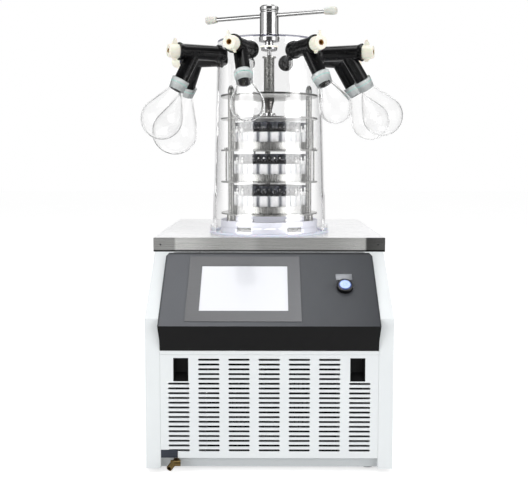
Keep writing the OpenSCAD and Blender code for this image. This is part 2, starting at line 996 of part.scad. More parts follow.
module fan_motor() {
    motor_y = blade_y + 18;
    foot_y = fan_y + 2;
    arm = 92;
    color("gray") {
        difference() {
            union() {
                rod_y(cond_x, fan_z, 32, motor_y, motor_y + 46);
                rod_y(cond_x, fan_z, fan_shaft_r, blade_y - 9, motor_y + 1);
                // Three arms bent forward to the shroud
                translate([cond_x, 0, fan_z])
                    for (a = [60, 180, 300])
                        rotate([0, a, 0]) {
                            block([-6, 6], [motor_y, motor_y + 3], [20, arm]);
                            block([-6, 6], [foot_y, motor_y + 3], [arm - 3, arm]);
                        }
            }
            for (k = [0:3])
                translate([cond_x, motor_y + 12 + 8 * k, fan_z])
                    rotate([90, 0, 0])
                        difference() {
                            cylinder(r = 34, h = 3);
                            translate([0, 0, -1])
                                cylinder(r = 30, h = 5);
                        }
        }
    }
}

module control_box() {
    box_x = [45, 195];
    box_y = [rear_y - 150, rear_y - 40];
    box_top = pan_top + 190;
    seam_z = pan_top + 176;
    seam = 1.2;
    out = [-1, 1];
    in = [1, -1];
    color("silver")
        difference() {
            block(box_x, box_y, [pan_top, box_top]);
            // Seam of the lid
            difference() {
                block(box_x + out, box_y + out, [seam_z, seam_z + seam]);
                block(box_x + in, box_y + in, [seam_z - 1, seam_z + seam + 1]);
            }
        }
}

// Appliance inlet: flanged body, deep pocket and three contact blades
module mains_inlet() {
    flange_t = 2.5;
    depth = 20;
    w = inlet_w / 2;
    h = inlet_h / 2;
    color("black") {
        difference() {
            union() {
                block([inlet_x - w, inlet_x + w], [rear_y - depth, rear_y], [inlet_z - h, inlet_z + h]);
                block(
                    [inlet_x - w - inlet_edge, inlet_x + w + inlet_edge], [rear_y, rear_y + flange_t],
                    [inlet_z - h - inlet_edge, inlet_z + h + inlet_edge]
                );
            }
            block(
                [inlet_x - 13, inlet_x + 13], [rear_y - depth + 4, rear_y + flange_t + 1],
                [inlet_z - 9, inlet_z + 9]
            );
        }
        for (x = [-7, 0, 7])
            block(
                [inlet_x + x - 1, inlet_x + x + 1], [rear_y - depth + 3, rear_y - 5],
                [inlet_z - 6, inlet_z - 2]
            );
    }
}

// ---- Bell ----
module seal_ring() {
    color("white")
        on_bell()
            revolve([
                [bell_r - bell_t - 1, top_z], [flange_r + 1, top_z], [flange_r + 1, top_z + 1.5],
                [flange_r - 1, bell_low], [bell_r - bell_t - 1, bell_low],
            ]);
}

module bell() {
    in_low = bell_r - bell_t;
    in_top = bell_top_r - bell_t;
    round_r = 3;
    color("lavender", 0.4)
        on_bell()
            difference() {
                revolve(concat(
                    [[in_low, bell_low], [flange_r, bell_low], [flange_r, bell_low + flange_t - 1.5]],
                    [[flange_r - 1.5, bell_low + flange_t], [bell_r + 1.5, bell_low + flange_t]],
                    [[bell_r, bell_low + flange_t + 1.5]],
                    arc(bell_top_r - round_r, bell_top - round_r, round_r, 0, 90, 4),
                    [[gland_r + plug_gap, bell_top], [gland_r + plug_gap, lid_z], [in_top, lid_z]]
                ));
                for (a = concat(valve_angles, plug_angles))
                    translate([0, 0, port_z])
                        rotate([0, 0, a + port_turn - 90])
                            translate([bell_top_r - 30, 0, 0])
                                rotate([0, 90, 0])
                                    cylinder(r = port_r, h = 60);
            }
}

// Blanking plugs in the two rear ports
module port_plugs() {
    color("black")
        for (a = plug_angles)
            at_port(a)
                rotate([0, 90, 0])
                    revolve([
                        [0, port_wall_r - bell_t - 4], [port_r - 3, port_wall_r - bell_t - 4],
                        [port_r - plug_gap, port_wall_r - bell_t - 1], [port_r - plug_gap, valve_in],
                        [port_r + 3.5, valve_in], [port_r + 3.5, valve_in + 5], [port_r + 1, valve_in + 7],
                        [0, valve_in + 7],
                    ]);
}

module lid_gland() {
    flange_z = lid_z - washer_t;
    color("silver")
        on_bell()
            revolve([
                [shaft_r + slide_gap, flange_z - gland_flange_t], [16, flange_z - gland_flange_t],
                [17, flange_z - gland_flange_t + 1], [17, flange_z], [gland_r, flange_z],
                [gland_r, bell_top], [shaft_r + slide_gap, bell_top],
            ]);
}

module gland_washer() {
    color("wheat")
        on_bell()
            translate([0, 0, lid_z - washer_t])
                revolve([
                    [gland_r + plug_gap, 0], [19, 0], [19, washer_t], [gland_r + plug_gap, washer_t],
                ]);
}

// ---- Handle ----
module handle_hub() {
    foot = 1.5;
    bore = shaft_r + plug_gap / 2;
    color("silver")
        on_bell()
            difference() {
                translate([0, 0, bell_top + fit_gap])
                    revolve([
                        [bore, 0], [hub_r + foot, 0], [hub_r + foot, 7], [hub_r, 9], [hub_r, hub_h - 15],
                        [hub_r - 1.5, hub_h - 13], [hub_r - 1.5, hub_h - 11], [hub_r, hub_h - 9],
                        [hub_r, hub_h - 3], [hub_r - 3, hub_h], [0, hub_h], [0, bar_z - bar_r - 4],
                        [bore, bar_z - bar_r - 4],
                    ]);
                translate([0, 0, bell_top + fit_gap + bar_z])
                    rotate([0, 90, bar_angle])
                        cylinder(r = bar_r + plug_gap / 2, h = 4 * hub_r, center = true);
            }
}

module handle_bar() {
    color("silver")
        on_bell()
            translate([0, 0, bell_top + fit_gap + bar_z])
                rotate([0, 90, bar_angle])
                    cylinder(r = bar_r, h = bar_len - 12, center = true);
}

module bar_caps() {
    color("wheat")
        on_bell()
            translate([0, 0, bell_top + fit_gap + bar_z])
                rotate([0, 0, bar_angle])
                    for (s = [-1, 1])
                        rotate([0, s * 90, 0])
                            translate([0, 0, bar_len / 2 - cap_len])
                                revolve([
                                    [bar_r + plug_gap / 2, 0], [cap_r - 2.5, 0], [cap_r - 1.5, 1],
                                    [cap_r, cap_len - 9], [cap_r, cap_len - 4], [cap_r - 1.2, cap_len - 1.2],
                                    [cap_r - 4, cap_len], [0, cap_len], [0, cap_len - 6 + plug_gap],
                                    [bar_r + plug_gap / 2, cap_len - 6 + plug_gap],
                                ]);
}

// Round through the gland, six-sided where it slides in the press screw
module press_shaft() {
    round_low = screw_top + 3;
    color("silver")
        on_bell() {
            translate([0, 0, round_low])
                cylinder(r = shaft_r, h = bell_top + fit_gap + bar_z - bar_r - 4.5 - round_low);
            translate([0, 0, screw_top - shaft_engage])
                cylinder(r = shaft_r, h = round_low - screw_top + shaft_engage, $fn = 6);
        }
}

// ---- Press ----
module press_screw() {
    nose_top = screw_low + screw_nose;
    color("gray")
        on_bell()
            difference() {
                revolve([
                    [0, screw_low - screw_neck - housing_h + 3],
                    [screw_pin_r, screw_low - screw_neck - housing_h + 3],
                    [screw_pin_r, screw_low], [screw_r, nose_top], [screw_r, screw_top - screw_head_t],
                    [screw_r + 3, screw_top - screw_head_t], [screw_r + 3, screw_top], [0, screw_top],
                ]);
                translate([0, 0, screw_top - shaft_engage - 6])
                    cylinder(r = shaft_r + slide_gap, h = shaft_engage + 7, $fn = 6);
            }
}

module crown_plate() {
    color("silver")
        difference() {
            union() {
                on_bell() {
                    translate([0, 0, crown_z])
                        cylinder(r = shelf_r, h = crown_t);
                    translate([0, 0, crown_z + crown_t])
                        cylinder(r = boss_r, h = boss_t);
                    // Screws of the threaded boss
                    for (a = [45:90:315])
                        rotate([0, 0, a])
                            translate([boss_screw_at, 0, crown_z + crown_t + boss_t])
                                cylinder(r = boss_screw_r, h = boss_screw_r);
                }
            }
            on_bell()
                translate([0, 0, crown_z - 1])
                    cylinder(r = screw_r + slide_gap, h = crown_t + boss_t + 2);
            translate([0, 0, crown_z - 1])
                round_rack(rods, rod_circle)
                    cylinder(r = spigot_r + plug_gap, h = crown_t + 2);
        }
}

// Each rod is turned with a collar under the lowest shelf and stepped ends, and carries its dome nut
module guide_rods() {
    flange = 3;
    collar = rod_r + 3;
    crown_top = crown_z + crown_t;
    color("gray")
        round_rack(rods, rod_circle)
            revolve([
                [0, ring_top - flange], [spigot_r, ring_top - flange], [spigot_r, ring_top],
                [collar, ring_top], [collar, shelf_low], [rod_r, shelf_low], [rod_r, crown_z],
                [spigot_r, crown_z], [spigot_r, crown_top], [rod_r + 0.5, crown_top],
                [rod_r + 0.5, crown_top + 8], [rod_r - 1.5, crown_top + 14], [rod_r - 4, crown_top + 17],
                [0, crown_top + 17.5],
            ]);
}

module rack_ring() {
    flange = 3;
    outer = trap_r + 4;
    inner = trap_r + 1;
    window = [34, 12];
    color("gray")
        difference() {
            on_bell()
                revolve([
                    [inner, top_z], [outer, top_z], [outer, ring_top], [rod_circle - 9, ring_top],
                    [rod_circle - 9, ring_top - flange], [inner, ring_top - flange],
                ]);
            translate([0, 0, ring_top - flange - 1])
                round_rack(rods, rod_circle)
                    cylinder(r = spigot_r + plug_gap, h = flange + 2);
            // Vapour windows
            on_bell()
                for (a = [0:60:300])
                    rotate([0, 0, a])
                        translate([outer, 0, top_z + ring_h / 2 - 1])
                            cube([20, window[0], window[1]], center = true);
        }
}

// Shelf with its guide holes and clearance for the hangers of the shelf below
module shelf_plate(k, holes) {
    difference() {
        on_bell()
            translate([0, 0, shelf_z(k)])
                cylinder(r = shelf_r, h = shelf_t);
        translate([0, 0, shelf_z(k) - 1]) {
            round_rack(rods, rod_circle)
                cylinder(r = rod_r + slide_gap, h = shelf_t + 2);
            round_rack(holes, hanger_circle)
                cylinder(r = hanger_r + slide_gap, h = shelf_t + 2);
        }
    }
}

// Headed rods that hang a shelf from the one above
module hangers(k, angles) {
    head_z = shelf_z(k - 1) + shelf_t + slide_gap;
    round_rack(angles, hanger_circle) {
        translate([0, 0, shelf_z(k)])
            cylinder(r = hanger_r, h = head_z - shelf_z(k) + 1);
        translate([0, 0, head_z])
            cylinder(r = hanger_r + 2, h = 4);
    }
}

module shelf_0() {
    color("silver")
        shelf_plate(0, hangers_of_1);
}

module swivel_housing() {
    step_r = screw_pin_r + 7;
    color("gray")
        on_bell()
            translate([0, 0, shelf_top]) {
                difference() {
                    revolve([
                        [0, 0], [boss_r, 0], [boss_r, housing_step], [step_r, housing_step],
                        [step_r, housing_h], [0, housing_h],
                    ]);
                    translate([0, 0, 2.6])
                        cylinder(r = screw_pin_r + slide_gap, h = housing_h);
                }
                for (a = [45:90:315])
                    rotate([0, 0, a])
                        translate([boss_screw_at, 0, housing_step])
                            cylinder(r = boss_screw_r, h = boss_screw_r);
            }
}

module shelf_1() {
    color("silver") {
        shelf_plate(1, hangers_of_2);
        hangers(1, hangers_of_1);
    }
}

module shelf_2() {
    color("silver") {
        shelf_plate(2, []);
        hangers(2, hangers_of_2);
    }
}

module shelf_3() {
    color("silver")
        shelf_plate(3, []);
}

module tray(k) {
    z = shelf_z(k) + shelf_t;
    rim = 0.8;
    color("silver")
        on_bell()
            revolve([
                [0, z], [tray_r - 1, z], [tray_r, z + 1], [tray_r, z + tray_h - 1.5],
                [tray_r + rim, z + tray_h - 1], [tray_r + rim, z + tray_h], [tray_r - 1, z + tray_h],
                [tray_r - 1, z + tray_t], [0, z + tray_t],
            ]);
}
module tray_1() tray(1);
module tray_2() tray(2);
module tray_3() tray(3);

// Hexagonal pack on a tray
module packed(k) {
    rows = vial_rings;
    translate([0, bell_y, shelf_z(k) + shelf_t + tray_t])
        for (j = [-rows:rows], i = [-rows:rows])
            if (abs(i + j) <= rows)
                translate([(i + j / 2) * vial_pitch, j * vial_pitch * sin(60), 0])
                    children();
}

module vials(k) {
    shoulder = vial_h - 11;
    color("aliceblue", 0.5)
        packed(k)
            revolve([
                [0, 0], [vial_r - 1, 0], [vial_r, 1], [vial_r, shoulder], [vial_r - 0.8, shoulder + 2],
                [finish_r - 1.6, vial_h - finish_h - 1.5], [finish_r - 1.6, vial_h - finish_h],
                [finish_r, vial_h - finish_h], [finish_r, vial_h], [mouth_r, vial_h],
                [mouth_r, vial_h - finish_h - 2.5], [vial_r - vial_t - 0.8, shoulder + 1],
                [vial_r - vial_t, shoulder - 1], [vial_r - vial_t, 1.6], [0, 1.6],
            ]);
}
module vials_1() vials(1);
module vials_2() vials(2);
module vials_3() vials(3);

// Freeze-drying stopper: a head, and a plug split by a vent slot
module stoppers(k) {
    vent = 3.4;
    color("darkslategray")
        packed(k)
            translate([0, 0, vial_h + stop_lift])
                difference() {
                    revolve([
                        [0, -stop_len], [stop_r - 0.6, -stop_len], [stop_r, 1 - stop_len], [stop_r, 0],
                        [finish_r - 0.5, 0], [finish_r - 0.5, stop_head], [0, stop_head],
                    ]);
                    translate([0, 0, -stop_len / 2 - 2])
                        cube([vent, 4 * stop_r, stop_len - 2], center = true);
                }
}
module stoppers_1() stoppers(1);
module stoppers_2() stoppers(2);
module stoppers_3() stoppers(3);

// ---- Manifold ----
module valve_bodies() {
    color("black")
        for (i = [0:len(valve_angles) - 1])
            difference() {
                union() {
                    // Tube with its flared end, and the spigot in the bell's port
                    at_port(valve_angles[i])
                        rotate([0, 90, 0])
                            revolve([
                                [0, port_wall_r - bell_t - 5], [port_r - 2, port_wall_r - bell_t - 5],
                                [port_r - plug_gap, port_wall_r - bell_t - 2], [port_r - plug_gap, valve_in],
                                [valve_r + 2.5, valve_in], [valve_r + 2.5, valve_in + 6],
                                [valve_r, valve_in + 9], [valve_r, valve_out - 9],
                                [valve_r + 2.5, valve_out - 3], [valve_r + 2.5, valve_out], [0, valve_out],
                            ]);
                    at_leg_end(i) {
                        translate([0, 0, -leg_len])
                            cylinder(r = leg_r, h = leg_len);
                        cylinder(r1 = stub_r, r2 = stub_end_r, h = stub_len);
                    }
                }
                at_port(valve_angles[i])
                    rotate([0, 90, 0]) {
                        translate([0, 0, port_wall_r - bell_t - 6])
                            cylinder(r = bore_r, h = valve_len + 10);
                        translate([0, 0, valve_out - knob_bore_len])
                            cylinder(r = knob_bore_r, h = knob_bore_len + 1);
                    }
                at_leg_end(i)
                    translate([0, 0, -leg_len])
                        cylinder(r = bore_r, h = leg_len + stub_len + 1);
            }
}

// Flask profile: ground neck, cone that meets the bulb, and the bulb, all with one wall
module flask(reach, bulb) {
    taper = (stub_r - stub_end_r) / stub_len;
    mouth = stub_r + plug_gap;
    neck_out = stub_end_r + 4;
    to_mid = reach - neck_len;
    neck_in = mouth - neck_len * taper;
    bulb_in = bulb - glass_t;
    // Angle of the point where the line from the neck's end touches the bulb
    function touch(neck, radius) = atan2(-to_mid, neck) + acos(radius / norm([to_mid, neck]));
    outer = arc(0, reach, bulb, touch(neck_out, bulb), 90, 16);
    inner = arc(0, reach, bulb_in, 90, touch(neck_in, bulb_in), 16);
    revolve(concat(
        [[mouth, fit_gap], [neck_r - 1, fit_gap], [neck_r, fit_gap + 1.2], [neck_r - 0.6, 8]],
        [[neck_out, neck_len]],
        [for (p = outer) [max(0, p[0]), p[1]]],
        [for (p = inner) [max(0, p[0]), p[1]]],
        [[neck_in, neck_len]]
    ));
}

module flasks() {
    color("aliceblue", 0.4)
        for (i = [0:len(valve_angles) - 1])
            at_leg_end(i)
                flask(flask_reach[i], flask_radius[i]);
}

// Plug with a body, a long and a short fin, and a vent hole
module knob(i) {
    out = valve_out + knob_gap;
    fin_t = 3.2;
    root = knob_r - 2;
    color("wheat")
        at_port(valve_angles[i])
            difference() {
                union() {
                    rotate([0, 90, 0])
                        revolve([
                            [0, valve_out - knob_bore_len + 1],
                            [knob_bore_r - slide_gap, valve_out - knob_bore_len + 1],
                            [knob_bore_r - slide_gap, out], [knob_r, out], [knob_r, out + knob_len * 0.4],
                            [knob_r - 1.2, out + knob_len - 1.2], [knob_r - 2.4, out + knob_len],
                            [0, out + knob_len],
                        ]);
                    rotate([knob_turn[i], 0, 0])
                        translate([0, fin_t / 2, 0])
                            rotate([90, 0, 0])
                                linear_extrude(fin_t)
                                    polygon([
                                        [out + 1, -root], [out + 4, -fin_down], [out + 10, -fin_down],
                                        [out + 16, -root], [out + 16, root], [out + 9, fin_up],
                                        [out + 5, fin_up], [out + 1, root],
                                    ]);
                }
                rotate([0, 90, 0])
                    translate([0, 0, out + 4])
                        cylinder(r = vent_r, h = knob_len);
            }
}
module knob_1() knob(0);
module knob_2() knob(1);
module knob_3() knob(2);
module knob_4() knob(3);
module knob_5() knob(4);
module knob_6() knob(5);

cabinet_shell();
base_pan();
rear_panel();
feet();
table_top();
front_grille();
finger_cups();
console();
display_bezel();
touch_screen();
button_collar();
power_button();
drain_elbow();
trap_pot();
trap_coil();
trap_insulation();
vacuum_port();
compressor();
compressor_mounts();
condenser();
fan_shroud();
fan_blades();
fan_motor();
control_box();
mains_inlet();
seal_ring();
bell();
port_plugs();
lid_gland();
gland_washer();
handle_hub();
handle_bar();
bar_caps();
press_shaft();
press_screw();
crown_plate();
guide_rods();
rack_ring();
shelf_0();
swivel_housing();
shelf_1();
shelf_2();
shelf_3();
tray_1();
tray_2();
tray_3();
vials_1();
vials_2();
vials_3();
stoppers_1();
stoppers_2();
stoppers_3();
valve_bodies();
flasks();
knob_1();
knob_2();
knob_3();
knob_4();
knob_5();
knob_6();
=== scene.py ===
"""Looks of the bench-top freeze dryer, in metres, in the frame of the CAD model."""

import json
import math

import bmesh
import bpy
from mathutils import Matrix, Vector


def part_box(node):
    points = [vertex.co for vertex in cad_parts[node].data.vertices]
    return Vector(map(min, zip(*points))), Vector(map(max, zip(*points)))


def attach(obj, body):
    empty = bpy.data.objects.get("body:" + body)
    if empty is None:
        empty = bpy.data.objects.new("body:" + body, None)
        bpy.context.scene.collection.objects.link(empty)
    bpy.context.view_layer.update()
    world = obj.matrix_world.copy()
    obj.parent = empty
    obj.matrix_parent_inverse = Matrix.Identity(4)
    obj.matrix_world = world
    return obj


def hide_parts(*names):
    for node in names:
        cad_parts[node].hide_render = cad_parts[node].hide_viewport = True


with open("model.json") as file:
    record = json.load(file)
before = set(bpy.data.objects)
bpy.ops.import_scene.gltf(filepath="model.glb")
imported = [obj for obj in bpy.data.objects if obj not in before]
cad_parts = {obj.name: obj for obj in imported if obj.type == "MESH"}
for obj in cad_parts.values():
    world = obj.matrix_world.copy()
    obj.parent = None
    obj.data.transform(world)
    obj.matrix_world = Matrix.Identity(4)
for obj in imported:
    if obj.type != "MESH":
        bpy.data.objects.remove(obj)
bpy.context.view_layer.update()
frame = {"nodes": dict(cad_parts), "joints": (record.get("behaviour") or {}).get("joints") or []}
NODES = frame["nodes"]
JOINTS = {joint["name"]: joint for joint in frame["joints"]}
MM = 0.001
X_AXIS = Vector((1, 0, 0))
UP = Vector((0, 0, 1))
WHITE = (1, 1, 1, 1)
VALVE_COUNT = 6

# ---- Places taken from the frame ----
FRONT_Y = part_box("cabinet_shell")[0].y
TABLE_LOW, TABLE_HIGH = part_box("table_top")
BELL_LOW, BELL_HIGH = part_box("bell")
GRILLE_LOW, GRILLE_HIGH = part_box("front_grille")
CONSOLE_LOW, CONSOLE_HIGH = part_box("console")
BUTTON_LOW, BUTTON_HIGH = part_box("power_button")
BUTTON_MIDDLE = (BUTTON_LOW + BUTTON_HIGH) / 2
BELL_X = (BELL_LOW.x + BELL_HIGH.x) / 2
BELL_Y = (BELL_LOW.y + BELL_HIGH.y) / 2
PRESS_AXIS = Vector(JOINTS["button_press"]["axis"])

# A point on the bell's upright axis
BELL_FOOT = Vector((BELL_X, BELL_Y, 0))

# The console's slope: its normal, its direction up the slope, and the bezel's middle on its surface
FACE_OUT = -PRESS_AXIS.normalized()
FACE_UP = FACE_OUT.cross(X_AXIS)
BEZEL_LOW, BEZEL_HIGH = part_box("display_bezel")
BEZEL_SUNK = 0.9 * MM
FACE_MIDDLE = (BEZEL_LOW + BEZEL_HIGH) / 2 + FACE_OUT * BEZEL_SUNK

# The photograph's camera: sensor and lens in millimetres, pitch up and yaw left in degrees
CAMERA_PLACE = (-0.0019, -1.6641, 0.5774)
CAMERA_PITCH, CAMERA_YAW = -4.11, 0.32
SENSOR_WIDTH, LENS, LENS_SHIFT = 36, 51.72, -0.05


def numbered(name, first, last):
    """Names that end in the numbers from first to last."""
    return [f"{name}_{i}" for i in range(first, last + 1)]


def points_of(name):
    """Every vertex of a CAD node, in the shared frame."""
    node = NODES[name]
    return [node.matrix_world @ vertex.co for vertex in node.data.vertices]


def valve_axis(i):
    """A valve's pivot and its direction, which points away from the bell."""
    joint = JOINTS[f"valve_{i}_turn"]
    return Vector(joint["pos_m"]), Vector(joint["axis"]).normalized()


# ---- Colours and shader nodes ----
def grey(value):
    return (value, value, value, 1)


def shade(red, green, blue):
    """Linear colour from the three display values of 0 to 255."""
    return tuple((v / 255) ** 2.2 for v in (red, green, blue)) + (1,)


class Nodes:
    """Short calls for the shader nodes of a material or of the world."""

    def __init__(self, tree, coordinates):
        self.tree = tree
        self.place = self.add("TexCoord").outputs[coordinates]

    def add(self, kind, **settings):
        node = self.tree.nodes.new("ShaderNode" + kind)
        for key, value in settings.items():
            setattr(node, key, value)
        return node

    def feed(self, socket, value):
        """Links a socket to another node's output, or sets its value."""
        if isinstance(value, bpy.types.NodeSocket):
            self.tree.links.new(value, socket)
        else:
            socket.default_value = value

    def scaled(self, x, y, z):
        """Place on the object, with each axis scaled, so that a pattern stretches."""
        node = self.add("Mapping")
        self.feed(node.inputs["Vector"], self.place)
        node.inputs["Scale"].default_value = (x, y, z)
        return node.outputs[0]

    def noise(self, scale, detail=3.0, rough=0.5, vector=None):
        """Soft clouds: a larger scale makes them smaller."""
        node = self.add("TexNoise")
        self.feed(node.inputs["Vector"], vector or self.place)
        node.inputs["Scale"].default_value = scale
        node.inputs["Detail"].default_value = detail
        node.inputs["Roughness"].default_value = rough
        return node.outputs["Fac"]

    def cells(self, scale, output="Distance"):
        """Cells with sharp borders: how far from the middle, or a colour for each cell."""
        node = self.add("TexVoronoi")
        self.feed(node.inputs["Vector"], self.place)
        node.inputs["Scale"].default_value = scale
        return node.outputs[output]

    def math(self, operation, a, b=0.0):
        node = self.add("Math", operation=operation)
        self.feed(node.inputs[0], a)
        self.feed(node.inputs[1], b)
        return node.outputs[0]

    def vector_math(self, operation, a, b=(0, 0, 0), output="Vector"):
        node = self.add("VectorMath", operation=operation)
        self.feed(node.inputs[0], a)
        self.feed(node.inputs[1], b)
        return node.outputs[output]

    def span(self, value, low, high, to_low=0.0, to_high=1.0):
        """Carries the range from low to high over to another range, and stops at its ends."""
        node = self.add("MapRange")
        self.feed(node.inputs["Value"], value)
        node.inputs["From Min"].default_value = low
        node.inputs["From Max"].default_value = high
        node.inputs["To Min"].default_value = to_low
        node.inputs["To Max"].default_value = to_high
        return node.outputs[0]

    def blend(self, factor, a, b):
        """Mixes two values."""
        node = self.add("Mix")
        self.feed(node.inputs["Factor"], factor)
        self.feed(node.inputs["A"], a)
        self.feed(node.inputs["B"], b)
        return node.outputs["Result"]

    def mix(self, factor, a, b, way="MIX"):
        """Mixes two colours. A colour mix keeps its sockets at 6 and 7 and its output at 2."""
        node = self.add("Mix", data_type="RGBA", blend_type=way)
        self.feed(node.inputs["Factor"], factor)
        self.feed(node.inputs[6], a)
        self.feed(node.inputs[7], b)
        return node.outputs[2]

    def axis(self, name, vector=None):
        """One component of the place, or of another vector."""
        node = self.add("SeparateXYZ")
        self.feed(node.inputs[0], vector or self.place)
        return node.outputs[name]

    def ramp(self, value, *stops):
        """Grey levels of 0 to 1 that run from stop to stop, each stop a place and a level."""
        node = self.add("ValToRGB")
        self.feed(node.inputs[0], value)
        node.color_ramp.interpolation = "EASE"
        points = node.color_ramp.elements
        while len(points) < len(stops):
            points.new(0.5)
        for point, (place, level) in zip(points, stops):
            point.position = place
            point.color = grey(level)
        return node.outputs[0]

    def seen_rays(self):
        """Two masks: what is seen straight or through glass, and what is seen by way of a mirror."""
        path = self.add("LightPath").outputs
        mirrored = self.math("GREATER_THAN", path["Glossy Depth"], 0.5)
        seen = self.math("MAXIMUM", path["Is Camera Ray"], path["Is Transmission Ray"])
        direct = self.math("SUBTRACT", seen, mirrored)
        direct.node.use_clamp = True
        return direct, mirrored


class Look(Nodes):
    """A material with its Principled shader."""

    def __init__(self, name, **sockets):
        self.material = bpy.data.materials.new(name)
        self.material.use_nodes = True
        super().__init__(self.material.node_tree, "Object")
        self.shader = self.tree.nodes["Principled BSDF"]
        for key, value in sockets.items():
            self.put(key.replace("_", " "), value)

    def put(self, socket, value):
        """Feeds a socket of the Principled shader."""
        self.feed(self.shader.inputs[socket], value)

    def colour(self, value):
        self.put("Base Color", value)

    def painted(self):
        """The colour that the material has so far."""
        return self.shader.inputs["Base Color"].links[0].from_socket

    def rough(self, pattern, low, high):
        """Roughness that follows the middle of a pattern from low to high."""
        self.put("Roughness", self.span(pattern, 0.3, 0.7, low, high))

    def bump(self, height, strength, distance):
        node = self.add("Bump")
        self.feed(node.inputs["Height"], height)
        node.inputs["Strength"].default_value = strength
        node.inputs["Distance"].default_value = distance
        self.put("Normal", node.outputs[0])

    def edge_on(self, weight):
        """Rises to 1 where the surface is seen edge on."""
        node = self.add("LayerWeight")
        node.inputs["Blend"].default_value = weight
        return node.outputs["Facing"]

    def normal(self):
        return self.add("NewGeometry").outputs["Normal"]

    def upward(self, low=0.3, high=0.6):
        """1 where the surface faces up, 0 where it is upright."""
        return self.span(self.axis("Z", self.normal()), low, high)

    def level(self, low, high, at_upright=0.0, at_level=1.0):
        """One value where the surface is upright and another where it is level, seen from either side."""
        flatness = self.math("ABSOLUTE", self.axis("Z", self.normal()))
        return self.span(flatness, low, high, at_upright, at_level)

    def outward(self):
        """1 where the surface faces away from the bell's axis, -1 where it faces the axis."""
        off = self.vector_math("SUBTRACT", self.place, BELL_FOOT)
        flat = self.vector_math("MULTIPLY", off, (1, 1, 0))
        away = self.vector_math("NORMALIZE", flat)
        return self.vector_math("DOT_PRODUCT", away, self.normal(), "Value")

    def let_lamps_through(self, tint):
        """Rays from lamps pass straight, so that what stands behind clear walls is lit."""
        clear = self.add("BsdfTransparent")
        clear.inputs["Color"].default_value = tint
        both = self.add("MixShader")
        self.feed(both.inputs[0], self.add("LightPath").outputs["Is Shadow Ray"])
        self.feed(both.inputs[1], self.shader.outputs[0])
        self.feed(both.inputs[2], clear.outputs[0])
        self.feed(self.tree.nodes["Material Output"].inputs["Surface"], both.outputs[0])

    def wear(self, *nodes):
        """Gives this material to CAD nodes."""
        for name in nodes:
            mesh = NODES[name].data
            mesh.materials.clear()
            mesh.materials.append(self.material)


# ---- Camera, lights and floor ----
def make_camera():
    """The photograph's camera, which looks along +Y before its pitch and yaw."""
    data = bpy.data.cameras.new("Camera")
    data.sensor_width = SENSOR_WIDTH
    data.lens = LENS
    data.shift_y = LENS_SHIFT
    data.clip_end = 100
    camera = bpy.data.objects.new("Camera", data)
    bpy.context.scene.collection.objects.link(camera)
    camera.location = CAMERA_PLACE
    camera.rotation_euler = (math.radians(90 + CAMERA_PITCH), 0, math.radians(CAMERA_YAW))
    bpy.context.scene.camera = camera


def softbox(name, place, target, width, height, watts):
    """Rectangular lamp at a place, turned to its target."""
    data = bpy.data.lights.new(name, "AREA")
    data.shape = "RECTANGLE"
    data.size = width
    data.size_y = height
    data.energy = watts
    lamp = bpy.data.objects.new(name, data)
    bpy.context.scene.collection.objects.link(lamp)
    lamp.location = place
    direction = Vector(target) - Vector(place)
    lamp.rotation_euler = direction.to_track_quat("-Z", "Y").to_euler()


def make_world():
    """White to the camera and through glass, and a dimmer studio for light and reflections."""
    world = bpy.data.worlds.new("Studio")
    world.use_nodes = True
    bpy.context.scene.world = world
    nodes = Nodes(world.node_tree, "Generated")

    # What a mirror shows: bright behind and at the sides, fainter overhead, dim round the camera.
    # Each field begins and is full where the direction's component reaches its two values.
    dim, overhead, ambient, bright = 0.12, 0.35, 0.45, 1.0
    back_field, side_field, top_field = (0.86, 0.96), (0.82, 0.95), (0.25, 0.75)
    behind = nodes.span(nodes.axis("Y"), *back_field, dim, bright)
    sides = nodes.span(nodes.math("ABSOLUTE", nodes.axis("X")), *side_field, 0.0, bright)
    above = nodes.span(nodes.axis("Z"), *top_field, 0.0, overhead)
    studio = nodes.math("MAXIMUM", nodes.math("MAXIMUM", behind, sides), above)

    # The camera sees plain white, and diffuse light comes from an even, dimmer one
    direct, mirrored = nodes.seen_rays()
    glossy = nodes.add("LightPath").outputs["Is Glossy Ray"]
    lit = nodes.blend(nodes.math("MAXIMUM", glossy, mirrored), ambient, studio)
    background = world.node_tree.nodes["Background"]
    background.inputs["Color"].default_value = WHITE
    nodes.feed(background.inputs["Strength"], nodes.blend(direct, lit, bright))


def floor_look():
    """White paper that gives off some light of its own, so that it stays white and keeps the shadow."""
    look = Look("FloorPaper", Roughness=0.9, Specular_IOR_Level=0.0)
    look.colour(look.mix(look.noise(2), grey(0.8), grey(0.84)))
    look.put("Emission Color", grey(1))
    own_light, own_light_mirrored = 0.62, 0.15
    direct, mirrored = look.seen_rays()
    direct = look.math("MULTIPLY", direct, own_light)
    mirrored = look.math("MULTIPLY", mirrored, own_light_mirrored)
    look.put("Emission Strength", look.math("ADD", direct, mirrored))
    return look


def make_floor(look):
    """A wide sheet just under the feet."""
    half, below_feet = 12, 0.2 * MM
    mesh = bpy.data.meshes.new("Floor")
    corners = [(-half, -half, 0), (half, -half, 0), (half, half, 0), (-half, half, 0)]
    mesh.from_pydata(corners, [], [(0, 1, 2, 3)])
    floor = bpy.data.objects.new("Floor", mesh)
    bpy.context.scene.collection.objects.link(floor)
    floor.location.z = -below_feet
    mesh.materials.append(look.material)


